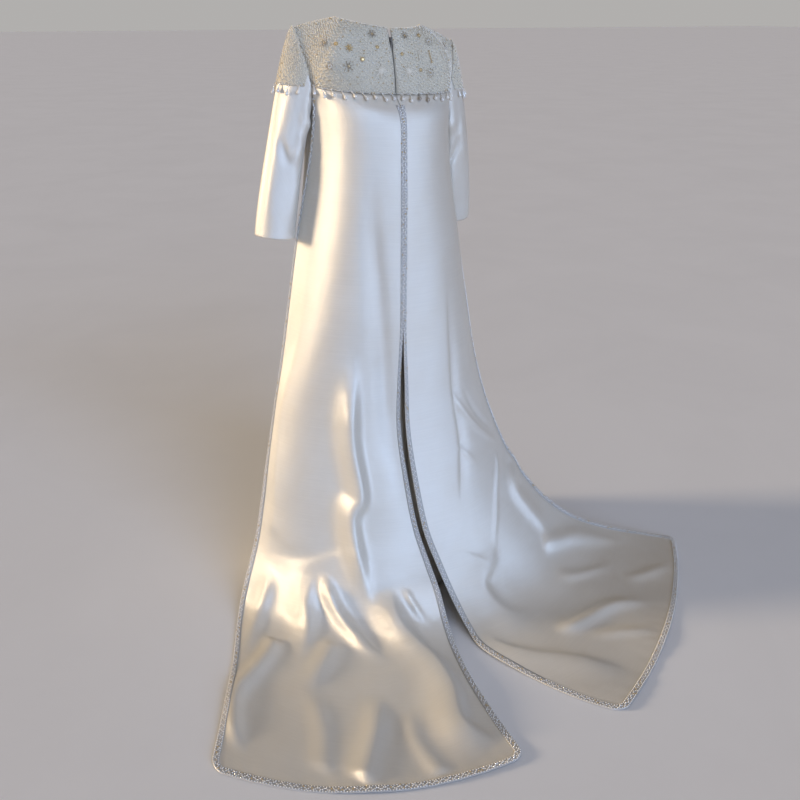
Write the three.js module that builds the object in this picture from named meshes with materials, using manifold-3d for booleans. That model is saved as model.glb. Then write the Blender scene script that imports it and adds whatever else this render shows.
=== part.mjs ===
// A floor-length A-line wedding dress in ivory satin: a beaded yoke, three-quarter sleeves with beaded
// caps, and a train of two free panels that hang from the back yoke and part below the hip.
// Millimetres, +Z up. The origin is on the shoulder line, midway between the two neck points.
// The dress faces -Y, so the train runs out along +Y, and +X is the wearer's left.

import * as THREE from 'three';
import { mergeVertices } from 'three/addons/utils/BufferGeometryUtils.js';
import Module from 'manifold-3d';

const wasm = await Module();
wasm.setup();

// Driving dimensions
const floorDrop = 1420; // from the neck points down to the floor
const satinWall = 1.6; // skirt and sleeves
const trainWall = 2; // train panel, turned under at its edges
const beadedWall = 3; // yoke cloth with its beadwork
const capWall = 2.4; // beaded sleeve cap
const trimWall = 1.6; // bead trim on the train
const trimWidth = 12;
const seamGap = 0.3;
const yokeSeam = 0.5; // gap between the yoke and what hangs from it
const liftOverSkirt = seamGap + trainWall; // the train's face lies this far outside the skirt's
const shoulderTilt = Math.tan(THREE.MathUtils.degToRad(4.6)); // the left shoulder is carried higher
const tiltFrom = 40; // depths over which that tilt dies out
const tiltTo = 300;

// The skirt's rings, by depth below the neck points: half width at the side seams, depth in front of and
// behind the side seams, and the squareness of the ring, 2 for an ellipse.
const figureRows = [
  { drop: 150, half: 172, front: 112, back: 118, square: 2.6 },
  { drop: 215, half: 168, front: 120, back: 122, square: 2.4 },
  { drop: 300, half: 171, front: 125, back: 130, square: 2.2 },
  { drop: 400, half: 184, front: 131, back: 138, square: 2.1 },
  { drop: 500, half: 201, front: 140, back: 146, square: 2 },
  { drop: 650, half: 232, front: 158, back: 157, square: 2 },
  { drop: 800, half: 259, front: 178, back: 169, square: 2 },
  { drop: 1000, half: 297, front: 206, back: 189, square: 2 },
  { drop: 1200, half: 337, front: 234, back: 211, square: 2 },
  { drop: floorDrop, half: 381, front: 264, back: 235, square: 2 },
];
const hemFlutes = { count: 7, depth: 0.05, from: 700 }; // soft waves in the front of the skirt

// The armhole's low half, in degrees round the figure from the centre back: where the yoke ends at the
// back and at the front, with the side seam at 90.
const armhole = { back: 73.4, side: 90, front: 117.6, backDrop: 148, sideDrop: 215, frontDrop: 150 };
const yokeDrop = { back: 158, front: 160 }; // the yoke's lower edge at the centre back and front

// The yoke from the centre back, over the shoulder, to the centre front: the neckline, the outer edge where
// it is an armhole, and how far the cloth crowns out of the straight line between the two.
const yokeStations = [
  { name: 'centreBack', neck: [0, 81, -25], crown: [0, 8, 2] },
  { name: 'midBack', neck: [50, 71, -21], crown: [3, 14, 5] },
  { name: 'backCorner', neck: [86, 46, -15], crown: [9, 34, 13] },
  { name: 'backNotch', neck: [99, 29, -12], edge: [182, 33, -86], crown: [3, 13, 9] },
  { name: 'shoulder', neck: [103, 14, -12], edge: [190, 0, -38], crown: [0, 0, 2] },
  { name: 'frontNotch', neck: [100, -10, -20], edge: [178, -42, -90], crown: [2, -9, 6] },
  { name: 'frontCorner', neck: [84, -48, -48], crown: [8, -24, 9] },
  { name: 'midFront', neck: [48, -75, -68], crown: [3, -7, 3] },
  { name: 'centreFront', neck: [0, -86, -76], crown: [0, -3, 1] },
];
const station = Object.fromEntries(yokeStations.map((row, i) => [row.name, i]));
const fringeBand = 5; // height of the beaded edge that carries the drops
const bandWall = 1.6;

// Half width of the zip's opening in the back yoke, by depth below the neck edge.
const zipOpening = [
  { drop: 0, half: 5 },
  { drop: 14, half: 3.6 },
  { drop: 36, half: 3.4 },
  { drop: 46, half: 1.2 },
  { drop: 140, half: 1 },
];

// Sleeves: the cuff's centre, its half sizes and the way the forearm points.
const sleeves = {
  left: { cuff: [256, -8, -474], halfAcross: 47.5, halfDeep: 48, along: [0.13, 0.02, -1] },
  right: { cuff: [236, -64, -474], halfAcross: 47, halfDeep: 46, along: [0.06, -0.26, -1] },
};
const sleeveHead = { upper: [0.85, 0, -0.5], under: [0.34, 0, -0.94], spread: 0.25, pull: 80, cuffPull: 330 };
const capDrop = 150; // the beaded cap ends level with the yoke

// The train's two panels, by station down their length. x is measured towards the panel's own side, y back
// from the side seams and drop from the neck points. bow is the outward bow of the width, as a share of it.
const trainRows = {
  left: [
    { inner: [-4, 150, 207], outer: [166, 44, 200], bow: 0.2 },
    { inner: [0, 164, 300], outer: [173, 25, 295], bow: 0.2 },
    { inner: [4, 174, 400], outer: [190, 9, 394], bow: 0.2 },
    { inner: [8, 182, 500], outer: [209, 3, 490], bow: 0.2 },
    { inner: [13, 190, 667], outer: [242, 5, 665], bow: 0.2 },
    { inner: [19, 190, 803], outer: [269, 10, 805], bow: 0.19 },
    { inner: [23, 200, 931], outer: [295, 14, 930], bow: 0.17 },
    { inner: [15, 226, 1059], outer: [323, 20, 1050], bow: 0.15 },
    { inner: [3, 262, 1189], outer: [349, 27, 1170], bow: 0.13 },
    { inner: [-10, 312, 1275], outer: [367, 34, 1245], bow: 0.12 },
    { inner: [-16, 358, 1330], outer: [389, 45, 1308], bow: 0.11 },
    { inner: [-14, 412, 1388], outer: [422, 78, 1370], bow: 0.1 },
    { inner: [-6, 478, 1415], outer: [456, 140, 1410], bow: 0.09 },
    { inner: [8, 583, 1418], outer: [510, 300, 1418], bow: 0.09 },
    { inner: [14, 690, 1418], outer: [560, 430, 1418], bow: 0.11 },
    { inner: [15, 832, 1418], outer: [630, 598, 1418], bow: 0.112 },
  ],
  right: [
    { inner: [4, 150, 207], outer: [166, 44, 200], bow: 0.2 },
    { inner: [0, 164, 300], outer: [173, 25, 295], bow: 0.2 },
    { inner: [-4, 174, 400], outer: [190, 14, 394], bow: 0.2 },
    { inner: [-8, 182, 500], outer: [207, 20, 490], bow: 0.2 },
    { inner: [-13, 190, 667], outer: [222, 60, 665], bow: 0.2 },
    { inner: [-16, 204, 803], outer: [244, 68, 800], bow: 0.19 },
    { inner: [-18, 218, 931], outer: [273, 84, 925], bow: 0.17 },
    { inner: [-10, 242, 1059], outer: [313, 104, 1040], bow: 0.15 },
    { inner: [3, 278, 1189], outer: [356, 124, 1135], bow: 0.13 },
    { inner: [22, 318, 1275], outer: [415, 144, 1222], bow: 0.12 },
    { inner: [42, 364, 1352], outer: [478, 160, 1290], bow: 0.1 },
    { inner: [54, 428, 1402], outer: [552, 180, 1346], bow: 0.08 },
    { inner: [60, 505, 1416], outer: [642, 206, 1388], bow: 0.06 },
    { inner: [101, 602, 1418], outer: [704, 230, 1406], bow: 0.05 },
    { inner: [175, 728, 1418], outer: [764, 258, 1416], bow: 0.06 },
    { inner: [249, 815, 1418], outer: [824, 300, 1418], bow: 0.066 },
  ],
};

// The largest folds, as soft ridges (height over 0) and troughs: the stretch of the panel's length they run
// over and where they lie across it, both from 0 to 1, with their width in millimetres.
const trainFolds = {
  left: [
    { from: 0.08, to: 0.62, acrossTop: 0.3, acrossEnd: 0.24, width: 26, height: -9 },
    { from: 0.3, to: 0.86, acrossTop: 0.56, acrossEnd: 0.42, width: 30, height: 11 },
    { from: 0.62, to: 0.98, acrossTop: 0.66, acrossEnd: 0.72, width: 34, height: 12 },
    { from: 0.7, to: 1, acrossTop: 0.14, acrossEnd: 0.2, width: 34, height: 13 },
  ],
  right: [
    { from: 0.1, to: 0.6, acrossTop: 0.72, acrossEnd: 0.62, width: 24, height: -8 },
    { from: 0.5, to: 0.86, acrossTop: 0.55, acrossEnd: 0.6, width: 34, height: 12 },
    { from: 0.66, to: 1, acrossTop: 0.84, acrossEnd: 0.76, width: 34, height: 14 },
    { from: 0.7, to: 1, acrossTop: 0.24, acrossEnd: 0.36, width: 34, height: 13 },
  ],
};

// Bead drops along the yoke and the caps, long and short by turns.
const drops = { spacing: 23, neck: 0.8, bulb: 3.3, lengths: [16, 21], sides: 4, clear: 1.6 };

// The zip's slider and its pull tab.
const zip = { tape: 22, tapeWall: 1, end: 470, rows: 12 };
const slider = { drop: 49, tall: 9, wide: 5, deep: 3.4, proud: 0.7, cheek: 0.9, cheekTall: 3, cheekProud: 2.1 };
const tab = { wide: 2.4, tall: 15, wall: 0.8, barrel: 0.75, pin: 0.4, play: 0.3, hinge: 1.1 };

// Mesh fineness
const steps = {
  yokeBottom: 8, yokeArmhole: 6, yokeDown: 7, lowArmhole: 4, skirtDown: 12,
  cap: 5, sleeveDown: 7, trainAcross: 10, trainDown: 30,
};

const colours = {
  satin: { color: 0xe9e4d8, roughness: 0.42, metalness: 0 },
  beadwork: { color: 0xe2ddd0, roughness: 0.5, metalness: 0 },
  trim: { color: 0xd8d3c8, roughness: 0.4, metalness: 0 },
  pearl: { color: 0xf1ece2, roughness: 0.25, metalness: 0 },
  tape: { color: 0xe6e0d2, roughness: 0.8, metalness: 0 },
  zipMetal: { color: 0x8d8a84, roughness: 0.35, metalness: 1 },
};

const vector = ([x, y, z]) => new THREE.Vector3(x, y, z);
const mix = THREE.MathUtils.lerp;
const range = (count) => [...Array(count + 1).keys()];

// Reads one column of a table at a value of its key column, on a smooth curve through the rows.
function column(rows, key, name, at) {
  const last = rows.length - 1;
  const found = rows.findIndex((row) => row[key] >= at);
  const i = Math.min(Math.max(found === -1 ? last : found, 1), last) - 1;
  const slope = (k) => {
    const a = rows[Math.max(k - 1, 0)];
    const b = rows[Math.min(k + 1, last)];
    return (b[name] - a[name]) / (b[key] - a[key]);
  };
  const span = rows[i + 1][key] - rows[i][key];
  const t = THREE.MathUtils.clamp((at - rows[i][key]) / span, 0, 1);
  const t2 = t * t;
  const t3 = t2 * t;
  return (2 * t3 - 3 * t2 + 1) * rows[i][name] + (t3 - 2 * t2 + t) * span * slope(i) +
    (3 * t2 - 2 * t3) * rows[i + 1][name] + (t3 - t2) * span * slope(i + 1);
}

// A smooth curve through points, read at a place counted in points.
function through(points, place) {
  const last = points.length - 1;
  const i = Math.min(Math.floor(THREE.MathUtils.clamp(place, 0, last)), last - 1);
  const t = place - i;
  const at = (k) => points[THREE.MathUtils.clamp(k, 0, last)];
  const before = i === 0 ? at(0).clone().multiplyScalar(2).sub(at(1)) : at(i - 1);
  const after = i + 2 > last ? at(last).clone().multiplyScalar(2).sub(at(last - 1)) : at(i + 2);
  const start = at(i + 1).clone().sub(before).multiplyScalar(0.5);
  const end = after.clone().sub(at(i)).multiplyScalar(0.5);
  return hermite(at(i), start, at(i + 1), end, t);
}

function hermite(from, start, to, end, t) {
  const t2 = t * t;
  const t3 = t2 * t;
  return from.clone().multiplyScalar(2 * t3 - 3 * t2 + 1)
    .addScaledVector(start, t3 - 2 * t2 + t)
    .addScaledVector(to, 3 * t2 - 2 * t3)
    .addScaledVector(end, t3 - t2);
}

// The higher left shoulder: a shear that dies out below the armholes.
function tilted(point) {
  const fade = 1 - THREE.MathUtils.smoothstep(-point.z, tiltFrom, tiltTo);
  return new THREE.Vector3(point.x, point.y, point.z + point.x * shoulderTilt * fade);
}

// A point on the skirt's face, at a depth and an angle in degrees from the centre back to the left.
function figure(depth, degrees, out = 0) {
  const angle = THREE.MathUtils.degToRad(degrees);
  const sin = Math.sin(angle);
  const cos = Math.cos(angle);
  const power = 2 / column(figureRows, 'drop', 'square', depth);
  const half = column(figureRows, 'drop', 'half', depth);
  const deep = column(figureRows, 'drop', cos > 0 ? 'back' : 'front', depth);
  const low = THREE.MathUtils.smoothstep(depth, hemFlutes.from, floorDrop);
  const inFront = THREE.MathUtils.smoothstep(-cos, 0, 0.5);
  const flute = 1 + hemFlutes.depth * low * inFront * Math.cos(hemFlutes.count * (angle - Math.PI));
  return new THREE.Vector3(
    (half * flute + out) * Math.sign(sin) * Math.abs(sin) ** power,
    (deep * flute + out) * Math.sign(cos) * Math.abs(cos) ** power,
    -depth,
  );
}

// Depth of the skirt's top edge round the left half: yoke seam, armhole, yoke seam.
function topEdge(degrees) {
  const { back, side, front, backDrop, sideDrop, frontDrop } = armhole;
  if (degrees <= back) return mix(yokeDrop.back, backDrop, (degrees / back) ** 2);
  if (degrees >= front) return mix(yokeDrop.front, frontDrop, ((180 - degrees) / (180 - front)) ** 2);
  const reach = degrees < side ? (side - degrees) / (side - back) : (degrees - side) / (front - side);
  return mix(degrees < side ? backDrop : frontDrop, sideDrop, Math.sqrt(Math.max(0, 1 - reach ** 2)));
}

// The yoke's outer edge on the left half, by station: the lower seam behind, the armhole, the seam in front.
const armholeCurve = [
  figure(armhole.backDrop, armhole.back, liftOverSkirt),
  vector(yokeStations[station.backNotch].edge),
  vector(yokeStations[station.shoulder].edge),
  vector(yokeStations[station.frontNotch].edge),
  figure(armhole.frontDrop, armhole.front, liftOverSkirt),
];
function yokeEdge(place) {
  if (place <= station.backCorner) {
    const degrees = (armhole.back * place) / station.backCorner;
    return figure(topEdge(degrees), degrees, liftOverSkirt);
  }
  if (place >= station.frontCorner) {
    const share = (place - station.frontCorner) / (station.centreFront - station.frontCorner);
    const degrees = mix(armhole.front, 180, share);
    return figure(topEdge(degrees), degrees, liftOverSkirt);
  }
  return through(armholeCurve, place - station.backCorner);
}

// A point on the yoke's face: from the neckline (0) to the outer edge (1).
const neckline = yokeStations.map((row) => vector(row.neck));
const crowns = yokeStations.map((row) => vector(row.crown));
function yokePoint(place, down) {
  return through(neckline, place).lerp(yokeEdge(place), down)
    .addScaledVector(through(crowns, place), 4 * down * (1 - down));
}

// A wall of cloth from a grid of points on its face: the listed cells, or all of them, between two offsets
// along the normals of its face. lowest keeps the wall off the floor.
function clothWall(grid, options) {
  const { from, to, round = false, lowest = -Infinity } = options;
  const { normals = gridNormals(grid, round), cells = allCells(grid, round) } = options;
  const cols = grid[0].length;
  const shifted = (r, c, by) => {
    const point = grid[r][c].clone().addScaledVector(normals[r][c], by);
    point.z = Math.max(point.z, lowest);
    return point;
  };
  const places = new Map();
  const positions = [];
  const corner = (r, c, by) => {
    const key = (r * cols + (round ? c % cols : c)) * 2 + (by === to ? 1 : 0);
    if (!places.has(key)) {
      places.set(key, positions.length / 3);
      positions.push(...shifted(r, round ? c % cols : c, by).toArray());
    }
    return places.get(key);
  };
  const triangles = [];
  const edges = new Map();
  for (const [r, c] of cells) {
    const ring = [[r, c], [r + 1, c], [r + 1, c + 1], [r, c + 1]];
    const upper = ring.map(([a, b]) => corner(a, b, to));
    const lower = ring.map(([a, b]) => corner(a, b, from));
    triangles.push(upper[0], upper[1], upper[2], upper[0], upper[2], upper[3]);
    triangles.push(lower[0], lower[2], lower[1], lower[0], lower[3], lower[2]);
    for (let i = 0; i < 4; i++) {
      const j = (i + 1) % 4;
      const back = upper[j] + '_' + upper[i];
      if (edges.has(back)) edges.delete(back);
      else edges.set(upper[i] + '_' + upper[j], [upper[i], upper[j], lower[i], lower[j]]);
    }
  }
  for (const [a, b, c, d] of edges.values()) triangles.push(a, d, b, a, c, d);
  return new THREE.BufferGeometry()
    .setAttribute('position', new THREE.Float32BufferAttribute(positions, 3))
    .setIndex(triangles);
}

function allCells(grid, round = false) {
  const cols = grid[0].length - (round ? 0 : 1);
  return grid.slice(1).flatMap((_, r) => range(cols - 1).map((c) => [r, c]));
}

// Normals of a grid whose rows run down the cloth and whose columns run to the right, seen from outside.
function gridNormals(grid, round) {
  const rows = grid.length;
  const cols = grid[0].length;
  return grid.map((row, r) => row.map((_, c) => {
    const down = grid[Math.min(r + 1, rows - 1)][c].clone().sub(grid[Math.max(r - 1, 0)][c]);
    const next = round ? row[(c + 1) % cols] : row[Math.min(c + 1, cols - 1)];
    const prior = round ? row[(c + cols - 1) % cols] : row[Math.max(c - 1, 0)];
    return down.cross(next.clone().sub(prior)).normalize();
  }));
}

const toSide = (grid, side) => (side === 'left'
  ? grid
  : grid.map((row) => row.map((p) => new THREE.Vector3(-p.x, p.y, p.z)).reverse()));
const sloped = (grid) => grid.map((row) => row.map(tilted));

function solidOf(geometry) {
  const position = geometry.getAttribute('position').array;
  return new wasm.Manifold(new wasm.Mesh({
    numProp: 3,
    vertProperties: new Float32Array(position),
    triVerts: new Uint32Array(geometry.index.array),
  }));
}

function geometryOf(solid) {
  const mesh = solid.getMesh();
  return new THREE.BufferGeometry()
    .setAttribute('position', new THREE.BufferAttribute(new Float32Array(mesh.vertProperties), 3))
    .setIndex(new THREE.BufferAttribute(new Uint32Array(mesh.triVerts), 1));
}

const dress = new THREE.Group();
dress.name = 'wedding_dress';
function add(name, geometry, finish) {
  const mesh = new THREE.Mesh(geometry, new THREE.MeshStandardMaterial(colours[finish]));
  mesh.name = name;
  dress.add(mesh);
}

// A ring of columns round the whole dress from points on its left half, counted from the centre back: down
// the right side to the centre front, then back up the left.
function wholeRing(halfGrid) {
  return sloped(halfGrid.map((row) => {
    const right = row.map((p) => new THREE.Vector3(-p.x, p.y, p.z));
    return [...right, ...row.slice(1, -1).reverse()];
  }));
}

// One panel of a ring, from its first to its last column, drawn back from its neighbours at both seams.
function ringPanel(ring, first, last, { firstGap = seamGap / 2, lastGap = seamGap / 2 } = {}) {
  const around = ring[0].length;
  const normals = gridNormals(ring, true);
  const columns = range(last - first).map((i) => (first + i) % around);
  const grid = ring.map((row) => columns.map((c) => row[c].clone()));
  const end = columns.length - 1;
  const draw = (row, from, towards, gap) => {
    const width = typeof gap === 'function' ? gap(row[from]) : gap;
    const way = row[towards].clone().sub(row[from]).normalize();
    return row[from].clone().addScaledVector(way, width);
  };
  const drawn = grid.map((row) => [
    draw(row, 0, 1, firstGap), ...row.slice(1, -1), draw(row, end, end - 1, lastGap),
  ]);
  return { grid: drawn, normals: normals.map((row) => columns.map((c) => row[c])) };
}

// Yoke
const halfPlaces = [
  ...range(steps.yokeBottom).map((i) => mix(0, station.backCorner, i / steps.yokeBottom)),
  ...range(2 * steps.yokeArmhole).slice(1)
    .map((i) => mix(station.backCorner, station.frontCorner, i / (2 * steps.yokeArmhole))),
  ...range(steps.yokeBottom).slice(1)
    .map((i) => mix(station.frontCorner, station.centreFront, i / steps.yokeBottom)),
];
const bandShare = (place) => 1 - fringeBand / yokePoint(place, 0).distanceTo(yokeEdge(place));
const yokeRing = wholeRing(range(steps.yokeDown + 1).map((r) => halfPlaces.map((place) => (
  yokePoint(place, r > steps.yokeDown ? 1 : (bandShare(place) * r) / steps.yokeDown)))));
const yokeAround = yokeRing[0].length;
const shoulderColumn = steps.yokeBottom + steps.yokeArmhole;
const neckBack = yokePoint(0, 0);
const zipHalf = (point) => column(zipOpening, 'drop', 'half', neckBack.z - point.z);
const yokePanels = {
  back_right: ringPanel(yokeRing, 0, shoulderColumn, { firstGap: zipHalf }),
  front: ringPanel(yokeRing, shoulderColumn, yokeAround - shoulderColumn),
  back_left: ringPanel(yokeRing, yokeAround - shoulderColumn, yokeAround, { lastGap: zipHalf }),
};
const lowestRow = steps.yokeDown + 1;
for (const [name, { grid, normals }] of Object.entries(yokePanels)) {
  normals[lowestRow].forEach((way, c) => {
    const onSeam = grid[lowestRow][c].z < -armhole.backDrop + 15;
    if (onSeam) way.setZ(0).normalize();
  });
  add(`yoke_${name}`, clothWall(grid, { normals, from: -beadedWall, to: 0 }), 'beadwork');
}

// Skirt: a front and two backs under the train, each running up to the yoke and the armholes.
const hemDrop = floorDrop - 8;
const lowAngles = (corner) => range(steps.lowArmhole)
  .map((i) => mix(armhole.side, corner, Math.sin((Math.PI / 2) * (i / steps.lowArmhole))));
const lowBack = lowAngles(armhole.back);
const lowFront = lowAngles(armhole.front);
const halfAngles = [
  ...range(steps.yokeBottom - 1).map((i) => mix(0, armhole.back, i / steps.yokeBottom)),
  ...[...lowBack].reverse(),
  ...lowFront.slice(1),
  ...range(steps.yokeBottom).slice(1).map((i) => mix(armhole.front, 180, i / steps.yokeBottom)),
];
const skirtRing = wholeRing(range(steps.skirtDown).map((r) => halfAngles.map((degrees) => (
  figure(mix(topEdge(degrees) + yokeSeam, hemDrop, (r / steps.skirtDown) ** 1.25), degrees)))));
const skirtAround = skirtRing[0].length;
const sideColumn = steps.yokeBottom + steps.lowArmhole;
const skirtPanels = {
  back_right: ringPanel(skirtRing, 0, sideColumn),
  front: ringPanel(skirtRing, sideColumn, skirtAround - sideColumn),
  back_left: ringPanel(skirtRing, skirtAround - sideColumn, skirtAround),
};
for (const [name, { grid, normals }] of Object.entries(skirtPanels)) {
  add(`skirt_${name}`, clothWall(grid, { normals, from: -satinWall, to: 0 }), 'satin');
}

// Train
const partingGap = 0.4; // each panel stands this far off the centre-back line
const trainTop = (across) => yokeEdge(station.backCorner * across).add(new THREE.Vector3(0, 0, -yokeSeam));

// The width of the panel at one row of its table: a bowed line from its inner to its outer edge.
function acrossRow({ inner, outer, bow }, across) {
  const from = new THREE.Vector3(inner[0], inner[1], -inner[2]);
  const to = new THREE.Vector3(outer[0], outer[1], -outer[2]);
  const chord = to.clone().sub(from);
  const outward = new THREE.Vector3(-chord.y, chord.x, 0);
  return from.addScaledVector(chord, across).addScaledVector(outward, 4 * bow * across * (1 - across));
}

// Length down the panel, through the middles of its rows.
function panelLengths(rows) {
  const middles = [trainTop(0.5), ...rows.map((row) => acrossRow(row, 0.5))];
  const lengths = [0];
  middles.slice(1).forEach((point, i) => lengths.push(lengths[i] + point.distanceTo(middles[i])));
  return lengths;
}

function panelPoint(side, across, down) {
  const rows = trainRows[side];
  const lengths = panelLengths(rows);
  const at = down * lengths[rows.length];
  const next = Math.max(1, lengths.findIndex((length) => length >= at - 1e-6));
  const place = next - 1 + (at - lengths[next - 1]) / (lengths[next] - lengths[next - 1]);
  const points = [trainTop(across), ...rows.map((row) => acrossRow(row, across))];
  const point = through(points, place);
  point.x += partingGap * (1 - across);
  return point;
}

// How far the folds lift the cloth at a place on the panel.
function foldHeight(side, across, down, width) {
  return trainFolds[side].reduce((sum, fold) => {
    const run = (down - fold.from) / (fold.to - fold.from);
    if (run <= 0 || run > 1) return sum;
    const ends = THREE.MathUtils.smoothstep(run, 0, 0.35) *
      (fold.to < 1 ? 1 - THREE.MathUtils.smoothstep(run, 0.65, 1) : 1);
    const away = ((across - mix(fold.acrossTop, fold.acrossEnd, run)) * width) / fold.width;
    return sum + fold.height * ends * Math.exp(-away * away);
  }, 0);
}

function panelGrid(side) {
  const total = panelLengths(trainRows[side]).at(-1);
  const lastRow = 1 - trimWidth / total;
  const shares = range(steps.trainDown + 1)
    .map((r) => (r > steps.trainDown ? 1 : (lastRow * r) / steps.trainDown));
  const places = shares.map((down) => {
    const width = panelPoint(side, 0, down).distanceTo(panelPoint(side, 1, down));
    const inset = trimWidth / width;
    return range(steps.trainAcross + 2).map((c) => {
      const across = THREE.MathUtils.clamp(mix(inset, 1 - inset, (c - 1) / steps.trainAcross), 0, 1);
      return { across: 1 - across, down, width };
    });
  });
  const base = places.map((row) => row.map(({ across, down }) => panelPoint(side, across, down)));
  const normals = gridNormals(base, false);
  const floor = -floorDrop + trainWall;
  const folded = base.map((row, r) => row.map((point, c) => {
    const { across, down, width } = places[r][c];
    point.addScaledVector(normals[r][c], foldHeight(side, across, down, width));
    point.z = Math.max(point.z, floor);
    return point;
  }));
  return sloped(toSide(folded, side));
}

const trimStart = 1; // the bead trim leaves the top of the panel free for the drops
for (const side of ['left', 'right']) {
  const grid = panelGrid(side);
  const lastRow = grid.length - 2;
  const lastCol = grid[0].length - 2;
  const edgeCells = allCells(grid)
    .filter(([r, c]) => r >= trimStart && (c === 0 || c === lastCol || r === lastRow));
  add(`train_${side}`, clothWall(grid, { from: -trainWall, to: 0, lowest: -floorDrop }), 'satin');
  add(`train_trim_${side}`, clothWall(grid, { from: seamGap, to: seamGap + trimWall, cells: edgeCells }), 'trim');
}

// Sleeves: lines run down from points round the armhole to points round the cuff.
const upperBack = range(steps.yokeArmhole)
  .map((i) => yokeEdge(mix(station.shoulder, station.backCorner, i / steps.yokeArmhole)));
const lowLoop = [...[...lowBack].reverse().slice(1, -1), ...lowFront.slice(0, -1)]
  .map((degrees) => figure(topEdge(degrees), degrees));
const upperFront = range(steps.yokeArmhole).slice(0, -1)
  .map((i) => yokeEdge(mix(station.frontCorner, station.shoulder, i / steps.yokeArmhole)));
const armholeLoop = [...upperBack, ...lowLoop, ...upperFront];
const loopCount = armholeLoop.length;
const sleeveClear = 0.5; // the sleeve starts this far outside the armhole

function sleeveLine(side, index, down) {
  const { cuff, halfAcross, halfDeep, along } = sleeves[side];
  const turn = (2 * Math.PI * index) / loopCount;
  const from = armholeLoop[index].clone();
  from.x += sleeveClear;
  const axis = vector(along).normalize();
  const deepWay = new THREE.Vector3(0, 1, 0).addScaledVector(axis, -axis.y).normalize();
  const acrossWay = deepWay.clone().cross(axis).multiplyScalar(-1);
  const to = vector(cuff).addScaledVector(acrossWay, halfAcross * Math.cos(turn))
    .addScaledVector(deepWay, halfDeep * Math.sin(turn));
  const under = (1 - Math.cos(turn)) / 2;
  const start = vector(sleeveHead.upper).lerp(vector(sleeveHead.under), under);
  start.y += sleeveHead.spread * Math.sin(turn);
  start.normalize().multiplyScalar(sleeveHead.pull);
  return hermite(from, start, to, axis.multiplyScalar(sleeveHead.cuffPull), down);
}

// Where a sleeve line passes the cap's lower edge; lines that start below it keep a short first stretch.
function capShare(side, index) {
  let low = 0.05;
  let high = 0.7;
  if (sleeveLine(side, index, low).z < -capDrop) return low;
  for (let i = 0; i < 30; i++) {
    const middle = (low + high) / 2;
    if (sleeveLine(side, index, middle).z > -capDrop) low = middle;
    else high = middle;
  }
  return low;
}

function sleeveGrid(side) {
  const shares = range(loopCount - 1).map((index) => capShare(side, index));
  return range(steps.cap + steps.sleeveDown).map((r) => shares.map((share, index) => {
    const reach = armholeLoop[index].distanceTo(sleeveLine(side, index, share));
    const bandTop = share * (1 - Math.min(0.5, fringeBand / reach));
    if (r < steps.cap) return sleeveLine(side, index, bandTop * (r / (steps.cap - 1)) ** 1.3);
    return sleeveLine(side, index, mix(share, 1, (r - steps.cap) / steps.sleeveDown));
  }));
}

// The beaded cap covers the lines that start well above its lower edge, from front to back over the top.
const capReach = range(loopCount - 1).filter((index) => armholeLoop[index].z > -capDrop + 20);
const capTurn = capReach.findIndex((index, i) => capReach[i + 1] !== index + 1);
const capCount = capReach.length - 1;
const capFirst = { left: capReach[capTurn + 1], right: loopCount - 1 - capReach[capTurn] };
const sleeveShapes = {};
for (const side of ['left', 'right']) {
  const grid = sloped(toSide(sleeveGrid(side), side));
  const middle = grid[0].reduce((sum, p) => sum.add(p), new THREE.Vector3()).divideScalar(loopCount);
  const armholeWays = grid[0].map((p) => new THREE.Vector3(0, p.y - middle.y, p.z - middle.z).normalize());
  const shape = { round: true, normals: [armholeWays, ...gridNormals(grid, true).slice(1)] };
  const cells = range(steps.cap - 1)
    .flatMap((r) => range(capCount - 1).map((i) => [r, (capFirst[side] + i) % loopCount]));
  add(`sleeve_${side}`, clothWall(grid, { ...shape, from: -satinWall, to: 0 }), 'satin');
  add(`cap_${side}`, clothWall(grid, { ...shape, from: seamGap, to: seamGap + capWall, cells }), 'beadwork');
  sleeveShapes[side] = { grid, ...shape };
}

// Fringes: a beaded band on the cloth's edge, with the drops that hang from it fused in.
function beadDrop(root, tip) {
  const long = root.distanceTo(tip);
  const { neck, bulb, sides } = drops;
  const profile = [[0, -long], [0.6 * bulb, -0.95 * long], [bulb, -0.76 * long], [neck, -0.42 * long], [neck, 0], [0, 0]];
  const lathe = new THREE.LatheGeometry(profile.map(([x, y]) => new THREE.Vector2(x, y)), sides);
  const way = tip.clone().sub(root).normalize();
  lathe.applyQuaternion(new THREE.Quaternion().setFromUnitVectors(new THREE.Vector3(0, -1, 0), way));
  lathe.translate(root.x, root.y, root.z);
  return merged(lathe);
}

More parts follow.
